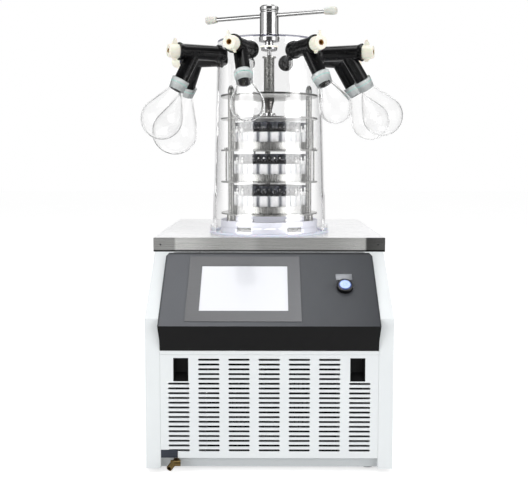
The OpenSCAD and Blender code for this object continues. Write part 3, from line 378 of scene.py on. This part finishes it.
# ---- Materials ----
def powder_coat():
    """White paint, with painted shade that darkens the sill below the grille."""
    look = Look("WhitePowderCoat", Specular_IOR_Level=0.45)
    sill_deep = 20 * MM
    paint = look.mix(look.noise(6, 4), shade(222, 226, 228), shade(232, 236, 237))
    # Painted shade: a darker grey on the sill below the grille, near the front
    middle = look.math("LESS_THAN", look.math("ABSOLUTE", look.axis("X")), GRILLE_HIGH.x)
    under = look.math("LESS_THAN", look.axis("Z"), GRILLE_LOW.z)
    ahead = look.math("LESS_THAN", look.axis("Y"), FRONT_Y + sill_deep)
    sill = look.math("MULTIPLY", look.math("MULTIPLY", middle, under), ahead)
    look.colour(look.mix(sill, paint, shade(194, 198, 200)))
    look.rough(look.noise(40), 0.36, 0.48)
    look.bump(look.noise(900, 2), 0.12, 0.15 * MM)
    return look


def spangled_zinc():
    look = Look("SpangledZinc", Metallic=0.85)
    flakes = look.axis("X", look.cells(120, "Color"))
    look.colour(look.mix(flakes, shade(150, 153, 157), shade(186, 189, 192)))
    look.put("Roughness", look.span(flakes, 0, 1, 0.38, 0.55))
    look.bump(look.noise(500), 0.1, 0.1 * MM)
    return look


def brushed_steel(name, stretch, dark, light):
    """Steel with a grain that runs along the axis whose scale is small."""
    look = Look(name, Metallic=1.0, Anisotropic=0.4)
    grain = look.noise(1, 6, 0.6, look.scaled(*stretch))
    smears = look.noise(9, 3)
    tone = look.math("MULTIPLY", look.math("ADD", grain, smears), 0.5)
    look.colour(look.mix(tone, shade(dark, dark, dark - 3), shade(light, light, light - 2)))
    look.rough(grain, 0.2, 0.36)
    look.bump(grain, 0.12, 0.06 * MM)
    return look


def table_steel():
    """Brushed sheet with a painted bright top, a painted reflection of the studio's light and dark fields
    along its front edge, and painted shade along that edge's foot.
    """
    look = brushed_steel("BrushedTable", (14, 1500, 1500), 226, 250)
    along = look.span(look.axis("X"), TABLE_LOW.x, TABLE_HIGH.x)
    # Painted reflection: places along the front edge from left to right, and how bright the studio's
    # reflection is painted there
    field = look.ramp(
        along, (0.0, 0.52), (0.088, 0.54), (0.098, 1.0), (0.14, 0.97), (0.28, 0.74), (0.42, 0.78),
        (0.47, 0.62), (0.75, 0.62), (0.89, 0.82), (0.912, 0.8), (0.922, 0.12), (1.0, 0.17),
    )
    # Painted shade darkens the edge along its foot, and the table's other sides get an even grey in place of
    # the painted reflection
    hem_shade_low, hem_shade_high = TABLE_LOW.z + 2.6 * MM, TABLE_LOW.z + 4.2 * MM
    front_deep = 3 * MM
    field = look.math("MULTIPLY", field, look.span(look.axis("Z"), hem_shade_low, hem_shade_high, 0.1, 1.0))
    front = look.math("LESS_THAN", look.axis("Y"), TABLE_LOW.y + front_deep)
    field = look.mix(front, grey(0.7), field)
    edge = look.mix(1.0, look.painted(), field, "MULTIPLY")
    # Painted light: faces that look up get a near-white top
    top = look.mix(look.noise(30), shade(248, 248, 250), WHITE)
    look.colour(look.mix(look.upward(), edge, top))
    look.put("Metallic", look.span(look.upward(), 0, 1, 1.0, 0.75))
    return look


def rack_steel(name, edge_shade_level):
    """Bright plate with painted shade on its upright edge, and painted light that makes its underside, which
    faces the lit table, white.
    """
    look = brushed_steel(name, (900, 900, 40), 156, 200)
    # Painted light makes the underside white, and painted shade darkens the upright edge
    below = look.upward(-0.4, -0.7)
    edge = look.math("SUBTRACT", 1.0, look.math("MAXIMUM", below, look.upward(0.4, 0.7)))
    plate = look.mix(edge, look.painted(), shade(edge_shade_level, edge_shade_level, edge_shade_level - 2))
    look.colour(look.mix(below, plate, shade(252, 251, 250)))
    look.put("Metallic", look.span(below, 0, 1, 1.0, 0.0))
    return look


def satin_ring():
    """Satin ring. Its inner wall, which the windows show, glows with painted light that stands in for light
    bounced inside the pot.
    """
    look = Look("SatinRing", Metallic=0.5)
    grain = look.noise(1, 4, 0.5, look.scaled(30, 30, 1500))
    tone = look.mix(grain, shade(196, 197, 206), shade(222, 223, 232))
    look.colour(tone)
    # Painted light: the inner wall glows though it is no lamp
    look.put("Emission Color", tone)
    look.put("Emission Strength", look.span(look.outward(), -0.3, -0.6, 0.0, 0.6))
    look.rough(grain, 0.45, 0.55)
    look.bump(grain, 0.05, 0.04 * MM)
    return look


def polished_steel():
    look = Look("PolishedSteel", Metallic=1.0)
    rings = look.noise(1, 3, 0.5, look.scaled(30, 30, 2600))
    look.colour(look.mix(rings, shade(160, 160, 160), shade(176, 176, 176)))
    look.rough(look.noise(60), 0.16, 0.22)
    look.bump(rings, 0.03, 0.03 * MM)
    return look


def rod_steel(name, dark, light):
    """Ground steel with fine rings round its upright axis."""
    look = Look(name, Metallic=1.0)
    rings = look.noise(1, 3, 0.5, look.scaled(200, 200, 3000))
    look.colour(look.mix(rings, shade(dark, dark, dark - 2), shade(light, light, light - 2)))
    look.rough(look.noise(50), 0.22, 0.34)
    look.bump(rings, 0.1, 0.05 * MM)
    return look


def moulded_console():
    """Moulded plastic, painted lighter on its upward slope than on its dark lip, with painted shading from
    pale on the left to darker on the right, painted shadow under the table along its crest, and dark seams
    at its ends.
    """
    look = Look("ConsolePlastic", Specular_IOR_Level=0.22)
    drift = look.noise(5, 3)
    # Painted shading across the slope: paler on the left, darker to the right
    across = look.math("POWER", look.span(look.axis("X"), CONSOLE_LOW.x, CONSOLE_HIGH.x), 2.0)
    right = look.span(look.math("ADD", across, look.math("MULTIPLY", drift, 0.2)), 0.1, 1.1)
    slope = look.mix(right, shade(96, 98, 102), shade(60, 62, 66))
    seam, ends_fade, crest_shadow_fade = 1 * MM, 4 * MM, 3.5 * MM
    end, crest = CONSOLE_HIGH.x, CONSOLE_HIGH.z
    sideways = look.math("ABSOLUTE", look.axis("X"))
    at_ends = look.span(sideways, end - ends_fade, end - seam, 0.0, 0.6)
    # Painted shadow under the table's edge along the crest; the darker ends are the seams
    crest_shadow = look.span(look.axis("Z"), crest - crest_shadow_fade, crest - seam, 0.0, 0.8)
    slope = look.mix(look.math("MAXIMUM", at_ends, crest_shadow), slope, shade(34, 35, 37))
    lip = look.mix(drift, shade(13, 13, 14), shade(18, 18, 19))
    # Painted light: the slope, which faces up, is lighter than the lip
    look.colour(look.mix(look.upward(), lip, slope))
    look.rough(look.noise(70), 0.42, 0.52)
    look.bump(look.cells(1400), 0.14, 0.12 * MM)
    return look


def bezel_film():
    """Fine-grained film with a painted reflection that makes it paler to the right."""
    look = Look("BezelFilm", Specular_IOR_Level=0.6)
    grain = look.noise(1, 4, 0.6, look.scaled(25, 1600, 1600))
    # Painted reflection: paler towards the right
    painted_sheen = look.span(look.axis("X"), BEZEL_LOW.x, BEZEL_HIGH.x)
    tone = look.math("MULTIPLY", look.math("ADD", grain, painted_sheen), 0.5)
    look.colour(look.mix(tone, shade(66, 67, 70), shade(92, 93, 97)))
    look.rough(grain, 0.3, 0.4)
    look.bump(grain, 0.06, 0.05 * MM)
    return look


def lit_screen():
    """Blank screen with a weak light of its own and a fine pattern of dots."""
    look = Look("TouchScreen", Roughness=0.18, Coat_Weight=0.3)
    dots = look.cells(2400)
    look.colour(look.mix(look.noise(3, 2), shade(197, 199, 205), shade(207, 208, 213)))
    look.put("Emission Color", look.mix(dots, shade(244, 246, 252), shade(250, 251, 255)))
    look.put("Emission Strength", 0.13)
    look.bump(dots, 0.02, 0.02 * MM)
    return look


def moulded_black(name, level, gloss, grain=900, shine=0.5):
    """Dark plastic or enamel: its display level, its roughness and the scale of its grain."""
    look = Look(name, Specular_IOR_Level=shine)
    dark, light = shade(level, level, level + 1), shade(level + 9, level + 9, level + 11)
    look.colour(look.mix(look.noise(25, 3), dark, light))
    look.rough(look.noise(80), gloss - 0.05, gloss + 0.07)
    look.bump(look.noise(grain), 0.12, 0.1 * MM)
    return look


def valve_rubber():
    """Glossy moulded rubber with a faint bloom."""
    look = Look("ValveRubber", Specular_IOR_Level=0.24)
    bloom = look.noise(45, 5, 0.6)
    look.colour(look.mix(look.span(bloom, 0.4, 0.75), shade(12, 12, 13), shade(24, 24, 26)))
    look.rough(bloom, 0.18, 0.3)
    look.bump(look.noise(160, 4), 0.12, 0.3 * MM)
    return look


def matte_rubber():
    look = Look("MatteRubber", Specular_IOR_Level=0.3)
    look.colour(look.mix(look.noise(90, 4), shade(26, 26, 27), shade(44, 44, 45)))
    look.rough(look.noise(200), 0.65, 0.8)
    look.bump(look.noise(700), 0.2, 0.2 * MM)
    return look


def stopper_rubber():
    look = Look("StopperRubber", Specular_IOR_Level=0.5, Sheen_Weight=0.1)
    bloom = look.noise(150, 4)
    look.colour(look.mix(bloom, shade(14, 18, 28), shade(32, 38, 52)))
    look.rough(bloom, 0.34, 0.5)
    look.bump(look.noise(900), 0.1, 0.1 * MM)
    return look


def cream_plastic(name, dark, light):
    look = Look(name, Subsurface_Weight=0.12, Subsurface_Scale=4 * MM)
    look.colour(look.mix(look.noise(60, 4), dark, light))
    look.rough(look.noise(120), 0.34, 0.46)
    look.bump(look.noise(500), 0.08, 0.1 * MM)
    return look


def amber_liner():
    look = Look("AmberLiner", Specular_IOR_Level=0.5)
    look.colour(look.mix(look.noise(150), shade(120, 78, 30), shade(196, 142, 66)))
    look.rough(look.noise(200), 0.3, 0.5)
    return look


def button_lens():
    """Pale lens with a faint ring on it, and a deep blue side."""
    look = Look("ButtonLens", Coat_Weight=0.6, Coat_Roughness=0.08)
    lens_in, lens_out, ring_at, ring_half = 9.6 * MM, 10.6 * MM, 3.6 * MM, 0.45 * MM
    off = look.vector_math("SUBTRACT", look.place, BUTTON_MIDDLE)
    off_axis = look.vector_math("CROSS_PRODUCT", off, PRESS_AXIS)
    radius = look.vector_math("LENGTH", off_axis, output="Value")
    lens = look.span(radius, lens_out, lens_in)
    ring = look.math("COMPARE", radius, ring_at)
    ring.node.inputs[2].default_value = ring_half
    face = look.mix(look.noise(200), shade(140, 168, 224), shade(168, 192, 238))
    marked = look.mix(look.math("MULTIPLY", ring, 0.45), face, shade(92, 122, 204))
    look.colour(look.mix(lens, shade(38, 62, 132), marked))
    look.put("Emission Color", face)
    look.put("Emission Strength", look.math("MULTIPLY", lens, 0.18))
    look.rough(look.noise(90), 0.22, 0.3)
    return look


def metal(name, dark, light, rough_low, rough_high, scale=60):
    """Plain metal with stains, whose scale sets the grain too."""
    look = Look(name, Metallic=1.0)
    stain = look.noise(scale, 5, 0.6)
    look.colour(look.mix(stain, dark, light))
    look.rough(stain, rough_low, rough_high)
    look.bump(look.noise(scale * 10), 0.08, 0.06 * MM)
    return look


def foam():
    look = Look("CellFoam", Roughness=0.9, Specular_IOR_Level=0.2)
    look.colour(look.mix(look.noise(60, 5), shade(214, 196, 140), shade(236, 222, 172)))
    look.bump(look.cells(420), 0.6, 1 * MM)
    return look


def silicone():
    look = Look("SealSilicone", Subsurface_Weight=0.25, Subsurface_Scale=3 * MM)
    look.colour(look.mix(look.noise(70), shade(206, 209, 222), shade(226, 229, 240)))
    look.rough(look.noise(160), 0.4, 0.55)
    look.bump(look.noise(700), 0.1, 0.1 * MM)
    return look


def clear_wall(name, edge, gloss, weight, power, coat=1.49):
    """Clear wall with little refraction, whose edges show the tint of their thickness."""
    look = Look(name, Transmission_Weight=1.0, IOR=1.03, Coat_Weight=gloss, Coat_IOR=coat)
    rim = look.math("POWER", look.edge_on(weight), power)
    rim = look.math("MULTIPLY", rim, look.level(0.9, 0.98, 1.0, 0.0))
    look.colour(look.mix(rim, WHITE, edge))
    look.put("Roughness", look.span(look.noise(14, 4), 0.45, 0.8, 0.0, 0.03))
    look.let_lamps_through((0.97, 0.97, 0.98, 1))
    return look


def bell_acrylic():
    """Clear acrylic that mirrors the lamps, with a violet line round the front of its lid."""
    look = clear_wall("ClearAcrylic", shade(226, 226, 246), 1.0, 0.3, 5.0, coat=1.72)
    lid_thick, fade_up, fade_back = 6 * MM, 1 * MM, 30 * MM
    lid_low = BELL_HIGH.z - lid_thick
    lid = look.span(look.axis("Z"), lid_low, lid_low + fade_up)
    upright = look.level(0.3, 0.6, 1.0, 0.0)
    ahead = look.span(look.axis("Y"), BELL_Y, BELL_Y - fade_back)
    line = look.math("MULTIPLY", look.math("MULTIPLY", lid, upright), ahead)
    look.colour(look.mix(line, look.painted(), shade(62, 62, 80)))
    look.put("IOR", look.level(0.5, 0.8, 1.03, 1.0005))
    outer = look.span(look.outward(), 0.1, 0.3)
    look.put("Coat Weight", look.math("MAXIMUM", outer, look.upward(0.5, 0.8)))
    return look


def ground_glass():
    """Sandblasted glass, grey-green and half see-through."""
    look = Look("GroundGlass", Alpha=0.55, Specular_IOR_Level=0.4)
    grains = look.noise(900, 3)
    ground = look.mix(grains, shade(186, 191, 191), shade(214, 218, 217))
    look.colour(look.mix(look.edge_on(0.5), ground, shade(112, 120, 121)))
    look.rough(grains, 0.5, 0.7)
    look.bump(grains, 0.3, 0.2 * MM)
    return look


def teal_enamel():
    look = Look("TealEnamel", Specular_IOR_Level=0.5)
    look.colour(look.mix(look.noise(300), shade(92, 160, 148), shade(124, 186, 174)))
    look.rough(look.noise(200), 0.3, 0.45)
    return look


def vial_glass():
    """White below the shoulder, clear at the neck, with grey lines where the wall is seen edge on."""
    look = Look("VialGlass", IOR=1.04, Roughness=0.05, Coat_Weight=0.4)
    height_share = look.axis("Z", look.add("TexCoord").outputs["Generated"])
    shoulder, neck_foot = 0.73, 0.77
    neck = look.span(height_share, shoulder, neck_foot)
    white = look.mix(look.noise(90), grey(0.78), grey(0.88))
    wall = look.mix(look.span(look.edge_on(0.5), 0.15, 0.8), white, shade(104, 112, 122))
    look.colour(look.mix(neck, wall, grey(0.94)))
    look.put("Transmission Weight", look.span(neck, 0, 1, 0.55, 1.0))
    look.let_lamps_through((0.9, 0.9, 0.92, 1))
    return look


def dress_nodes():
    """Gives every CAD node its material."""
    # Cabinet
    PAINT.wear("cabinet_shell", "front_grille", "rear_panel")
    spangled_zinc().wear("base_pan", "control_box", "vacuum_port")
    table_steel().wear("table_top")
    moulded_black("CupPlastic", 5, 0.5, shine=0.2).wear("finger_cups")
    metal("Brass", shade(94, 78, 48), shade(146, 124, 82), 0.26, 0.44).wear("drain_elbow")

    # Console
    CONSOLE_PLASTIC.wear("console")
    bezel_film().wear("display_bezel")
    lit_screen().wear("touch_screen")
    moulded_black("CollarPlastic", 12, 0.34, shine=0.3).wear("button_collar")
    button_lens().wear("power_button")

    # Press, rack and vials
    brushed_steel("BrushedRack", (900, 900, 40), 140, 190).wear("trap_pot", *numbered("tray", 1, 3))
    rack_steel("ShelfSteel", 150).wear(*numbered("shelf", 0, 3))
    rack_steel("TopPlateSteel", 84).wear("crown_plate")
    satin_ring().wear("rack_ring")
    polished_steel().wear("handle_hub", "handle_bar", "press_shaft", "lid_gland", "swivel_housing")
    rod_steel("GroundRodSteel", 104, 134).wear("guide_rods", "press_screw")
    cream_plastic("CapPlastic", shade(206, 207, 198), shade(222, 222, 214)).wear("bar_caps")
    stopper_rubber().wear(*numbered("stoppers", 1, 3))
    vial_glass().wear(*numbered("vials", 1, 3))

    # Bell and manifold
    bell_acrylic().wear("bell")
    silicone().wear("seal_ring")
    valve_rubber().wear("valve_bodies", "port_plugs")
    cream = cream_plastic("CreamPlastic", shade(240, 236, 218), shade(248, 245, 231))
    cream.wear("gland_washer", *numbered("knob", 1, VALVE_COUNT))
    clear_wall("FlaskGlass", shade(196, 201, 204), 0.45, 0.35, 7.0).wear("flasks")

    # Machinery
    matte_rubber().wear("feet", "compressor_mounts")
    moulded_black("SocketPlastic", 12, 0.5).wear("mains_inlet", "fan_blades")
    metal("Copper", shade(150, 84, 56), shade(206, 130, 92), 0.25, 0.45).wear("trap_coil")
    metal("CastAluminium", shade(150, 152, 155), shade(182, 184, 187), 0.35, 0.5).wear("fan_motor")
    moulded_black("BlackEnamel", 16, 0.22, 120).wear("compressor", "condenser", "fan_shroud")
    foam().wear("trap_insulation")


# ---- Small pieces ----
def piece(name, verts, faces, look, body, crease=32):
    """A smooth piece that rides on a body, with a crease where faces meet at more than some degrees."""
    mesh = bpy.data.meshes.new(name)
    mesh.from_pydata([tuple(v) for v in verts], [], faces)
    mesh.validate()
    mesh.shade_smooth()
    mesh.set_sharp_from_angle(angle=math.radians(crease))
    mesh.materials.append(look.material)
    obj = bpy.data.objects.new(name, mesh)
    bpy.context.scene.collection.objects.link(obj)
    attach(obj, body)
    return obj


def ring_faces(rings, steps):
    """Quads between rings of vertices that lie one after another, with as many steps in each."""
    faces = []
    for i in range(rings - 1):
        here, there = i * steps, (i + 1) * steps
        for k in range(steps):
            after = (k + 1) % steps
            faces.append((here + k, here + after, there + after, there + k))
    return faces


def end_faces(rings, steps):
    """The two faces that close the first and the last ring."""
    last = (rings - 1) * steps
    return [tuple(reversed(range(steps))), tuple(range(last, last + steps))]


def turned(profile, foot, axis, steps):
    """Vertices and faces of a shape turned about an axis: radius and height pairs, from its foot up."""
    axis = Vector(axis).normalized()
    side = axis.orthogonal().normalized()
    other = axis.cross(side)
    verts = []
    for radius, height in profile:
        for k in range(steps):
            angle = 2 * math.pi * k / steps
            ring = side * math.cos(angle) + other * math.sin(angle)
            verts.append(foot + axis * height + ring * radius)
    faces = ring_faces(len(profile), steps)
    if profile[0] != profile[-1]:
        return verts, faces + end_faces(len(profile), steps)
    # A closed profile: its last ring is its first
    count = (len(profile) - 1) * steps
    return verts[:count], [tuple(v % count for v in face) for face in faces]


def slab(name, middle, along, up, size, edge, look, body):
    """A plate with rounded edges: its width along one axis, its height up another."""
    bm = bmesh.new()
    bmesh.ops.create_cube(bm, size=1)
    bmesh.ops.scale(bm, vec=size, verts=bm.verts)
    bmesh.ops.bevel(bm, geom=bm.edges[:], offset=edge, segments=2, profile=0.5, affect="EDGES")
    out = along.cross(up)
    turn = Matrix((along, up, out)).transposed().to_4x4()
    bmesh.ops.transform(bm, matrix=Matrix.Translation(middle) @ turn, verts=bm.verts)
    verts = [v.co.copy() for v in bm.verts]
    faces = [tuple(v.index for v in face.verts) for face in bm.faces]
    bm.free()
    return piece(name, verts, faces, look, body)


def grille_fold():
    """The grille's upper fold, which runs up to the console's lip."""
    gap, thick, edge = 0.3 * MM, 1.5 * MM, 0.2 * MM
    low, high = GRILLE_HIGH.z + gap, CONSOLE_LOW.z - gap
    place = Vector((0, GRILLE_LOW.y + thick / 2, (low + high) / 2))
    size = (GRILLE_HIGH.x - GRILLE_LOW.x, high - low, thick)
    slab("GrilleFold", place, X_AXIS, UP, size, edge, PAINT, "machine")


def console_corners():
    """Small fills that leave only a short cut at the console's two upper corners."""
    low, high = CONSOLE_LOW, CONSOLE_HIGH
    near, kept, gap, deep = 0.1 * MM, 5 * MM, 0.05 * MM, 6 * MM
    points = points_of("console")
    # The front of the console's crest, and the point on its side where the cut ends
    crest = min((p for p in points if p.z > high.z - near), key=lambda p: p.y)
    side = max((p for p in points if p.x > high.x - near), key=lambda p: (p.z, -p.y))
    cut = high.z - side.z
    lean = (crest.y - side.y) / cut
    outline = [(gap, cut), (gap, kept), (kept, gap), (cut, gap)]
    for name, hand, edge in (("ConsoleCornerLeft", 1, low.x), ("ConsoleCornerRight", -1, high.x)):
        verts = []
        for back in (0, deep):
            for inward, down in outline:
                y = crest.y - lean * down + back
                verts.append((edge + hand * inward, y, high.z - down))
        count = len(outline)
        faces = [tuple(range(count)), tuple(reversed(range(count, 2 * count)))]
        for k in range(count):
            after = (k + 1) % count
            faces.append((k, k + count, after + count, after))
        if hand < 0:
            faces = [tuple(reversed(face)) for face in faces]
        piece(name, verts, faces, CONSOLE_PLASTIC, "machine")


def label_plates():
    """Blank plates: pale above the button, dark at the grille's lower left corner."""
    width, height, thick, edge = 31 * MM, 15 * MM, 0.6 * MM, 0.25 * MM
    size = (width, height, thick)
    pale = metal("PalePlate", shade(124, 126, 130), shade(146, 148, 152), 0.4, 0.5, 90)
    across, above_bezel_middle = BUTTON_MIDDLE.x - FACE_MIDDLE.x, 27.5 * MM
    place = FACE_MIDDLE + X_AXIS * across + FACE_UP * above_bezel_middle + FACE_OUT * thick / 2
    slab("ButtonPlate", place, X_AXIS, FACE_UP, size, edge, pale, "machine")

    slate = moulded_black("SlatePlate", 52, 0.4, 700)
    slate.colour(slate.mix(slate.noise(25), shade(36, 42, 52), shade(46, 52, 64)))
    inward, above = 16 * MM, 7.8 * MM
    corner = Vector((GRILLE_LOW.x, FRONT_Y, GRILLE_LOW.z))
    place = corner + Vector((inward, -thick / 2, above))
    slab("CornerPlate", place, X_AXIS, UP, size, edge, slate, "machine")


def table_rivets():
    """A small domed rivet near each end of the table's folded edge."""
    look = metal("RivetSteel", shade(44, 44, 46), shade(78, 78, 80), 0.3, 0.4, 200)
    radius, dome, inset = 1.7 * MM, 0.8 * MM, 14 * MM
    height = (TABLE_LOW.z + TABLE_HIGH.z) / 2
    profile = [(radius, 0), (0.85 * radius, 0.55 * dome), (0.45 * radius, 0.9 * dome), (0, dome)]
    for name, x in (("RivetLeft", TABLE_LOW.x + inset), ("RivetRight", TABLE_HIGH.x - inset)):
        verts, faces = turned(profile, Vector((x, TABLE_LOW.y, height)), (0, -1, 0), 20)
        piece(name, verts, faces, look, "machine", 60)


def panel_screws():
    """Pan-head screws along the rear panel's edges, each with its cross slot drawn as thin dark strips of
    painted shade.
    """
    look = metal("ScrewZinc", shade(140, 142, 146), shade(186, 188, 192), 0.28, 0.42, 150)
    low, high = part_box("rear_panel")
    inset, radius, head = 9 * MM, 3.8 * MM, 2.2 * MM
    slot_size, slot_edge = (1.1 * radius, 1 * MM, 0.12 * MM), 0.02 * MM
    profile = [
        (radius, 0), (radius, 0.35 * head), (0.85 * radius, 0.75 * head), (0.6 * radius, head), (0, head),
    ]
    heights = (low.z + inset, (low.z + high.z) / 2, high.z - inset)
    for i, x in enumerate((low.x + inset, high.x - inset)):
        for j, z in enumerate(heights):
            foot = Vector((x, high.y, z))
            verts, faces = turned(profile, foot, (0, 1, 0), 24)
            piece(f"PanelScrew_{i}_{j}", verts, faces, look, "machine", 50)
            top = foot + Vector((0, head, 0))
            # Painted shade: two thin dark strips on the head stand in for the cross slot's recess
            for k, (along, up) in enumerate(((X_AXIS, UP), (UP, -X_AXIS))):
                name = f"PanelScrewSlot_{i}_{j}_{k}"
                slab(name, top, along, up, slot_size, slot_edge, SLOT_SHADE, "machine")


def knob_liners():
    """Amber lining in the mouth of each knob's vent."""
    look = amber_liner()
    outer, inner, centre = 5.3 * MM, 4.1 * MM, 0.01 * MM
    depth, floor, below_mouth = 15 * MM, 1.2 * MM, 0.5 * MM
    profile = [
        (outer, 0), (outer, depth), (inner, depth), (inner, floor), (centre, floor), (centre, 0), (outer, 0),
    ]
    for i in range(1, VALVE_COUNT + 1):
        pivot, out = valve_axis(i)
        mouth = max((point - pivot).dot(out) for point in points_of(f"knob_{i}"))
        foot = pivot + out * (mouth - depth - below_mouth)
        verts, faces = turned(profile, foot, out, 28)
        piece(f"KnobLiner_{i}", verts, faces, look, f"valve_knob_{i}", 40)


def thread_steel():
    """Bright rod steel with painted shade where the screw runs below the crown plate."""
    look = rod_steel("ThreadSteel", 150, 196)
    crown_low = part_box("crown_plate")[0].z
    above = look.span(look.axis("Z"), crown_low - 1 * MM, crown_low)
    # Painted shade on the screw below the crown plate
    shaded = look.mix(look.noise(90), shade(96, 94, 92), shade(132, 130, 128))
    look.colour(look.mix(above, shaded, look.painted()))
    return look


def press_thread():
    """The press screw with its four-start thread cut as real ridges."""
    low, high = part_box("press_screw")
    foot = Vector(((low.x + high.x) / 2, (low.y + high.y) / 2, low.z))
    top = high.z - low.z
    # Radii and heights of the CAD's plain screw, which has its thread here
    pin, pin_top, cone_top = 6 * MM, 14.5 * MM, 32.5 * MM
    crest, root, pitch, starts = 11.5 * MM, 10.2 * MM, 2 * MM, 4
    head, head_thick, chamfer = 14.5 * MM, 3 * MM, 0.4 * MM
    # Only the mouth of the shaft's socket, as a round hole
    socket, socket_deep = 4.62 * MM, 4 * MM
    thread_deep, under_head = crest - root, top - head_thick
    steps, row_high = 64, 0.25 * MM
    steepness, flat_root = 1.8, 0.3

    def ridge(height, turn):
        """Height of the thread, from 0 at its flat root to 1 at its flat crest."""
        phase = (height / pitch - starts * turn) % 1
        return min(1, max(0, steepness * (1 - abs(2 * phase - 1)) - flat_root))

    # Radius and height of each ring, and 1 where the thread is cut
    rows = [(pin, 0, 0), (pin, pin_top, 0), (root, cone_top - thread_deep, 0)]
    count = int((under_head - cone_top) / row_high)
    rows += [(root, cone_top + row_high * k, 1) for k in range(count + 1)]
    rows += [
        (root, under_head, 0), (head, under_head, 0), (head, top - chamfer, 0),
        (head - chamfer, top, 0), (socket, top, 0), (socket, top - socket_deep, 0),
    ]
    verts = []
    for radius, height, cut in rows:
        for k in range(steps):
            angle = 2 * math.pi * k / steps
            r = radius + cut * thread_deep * ridge(height, k / steps)
            verts.append(foot + Vector((r * math.cos(angle), r * math.sin(angle), height)))
    faces = ring_faces(len(rows), steps) + end_faces(len(rows), steps)
    thread = piece("PressThread", verts, faces, thread_steel(), "screw", 40)
    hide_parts("press_screw")


def flask_collars():
    """Frosted band and a teal line round each flask's ground neck."""
    frost = ground_glass()
    teal = teal_enamel()
    # The valves' legs as the CAD source builds them, because the frame doesn't carry their swivels
    swivels = (18, 14, -6, 22, -16, -14)
    leg_root, leg_tilt, leg_len = 168 * MM, math.radians(26), 62 * MM
    lip, waist, neck_long, skin = 18.5 * MM, 15.2 * MM, 24 * MM, 0.25 * MM
    band_low, line_low, line_wide = 1.5 * MM, 9 * MM, 1.3 * MM

    def sleeve(low, high, inner, outer):
        """Profile of a thin sleeve on the neck, which narrows from its lip to its waist."""
        below = lip - (lip - waist) * low / neck_long
        above = lip - (lip - waist) * high / neck_long
        return [
            (below + outer, low), (above + outer, high), (above + inner, high),
            (below + inner, low), (below + outer, low),
        ]

    band = sleeve(band_low, neck_long, -skin, skin)
    line = sleeve(line_low, line_low + line_wide, 0, 2 * skin)
    for i, swivel in enumerate(swivels, 1):
        pivot, out = valve_axis(i)
        port = Vector((BELL_X, BELL_Y, pivot.z))
        turn, drop = math.radians(swivel), math.cos(leg_tilt)
        leg = out * math.sin(leg_tilt)
        leg += UP.cross(out) * drop * math.sin(turn) - UP * drop * math.cos(turn)
        end = port + out * leg_root + leg * leg_len
        for name, profile, look in ((f"FlaskFrost_{i}", band, frost), (f"FlaskLine_{i}", line, teal)):
            verts, faces = turned(profile, end, leg, 48)
            piece(name, verts, faces, look, "machine")


# ---- Build ----
make_camera()
make_world()
softbox("KeyLeft", (-2.1, -1.75, 0.75), target=(0, 0, 0.6), width=1.6, height=1.5, watts=30)
softbox("KeyRight", (2.05, -1.65, 0.75), target=(0, 0, 0.6), width=1.6, height=1.5, watts=27)
softbox("Overhead", (0, -0.3, 2.6), target=(0, 0, 0), width=1.4, height=1.4, watts=22)
softbox("BackFill", (0.6, 2.1, 2.8), target=(0, 0, 0.4), width=2.0, height=1.4, watts=16)
make_floor(floor_look())

PAINT = powder_coat()
CONSOLE_PLASTIC = moulded_console()
# Painted shade for the screws' cross slots
SLOT_SHADE = moulded_black("PaintedSlotShade", 8, 0.6)
dress_nodes()
grille_fold()
console_corners()
label_plates()
table_rivets()
panel_screws()
knob_liners()
press_thread()
flask_collars()

scene = bpy.context.scene
scene.view_settings.view_transform = "Standard"
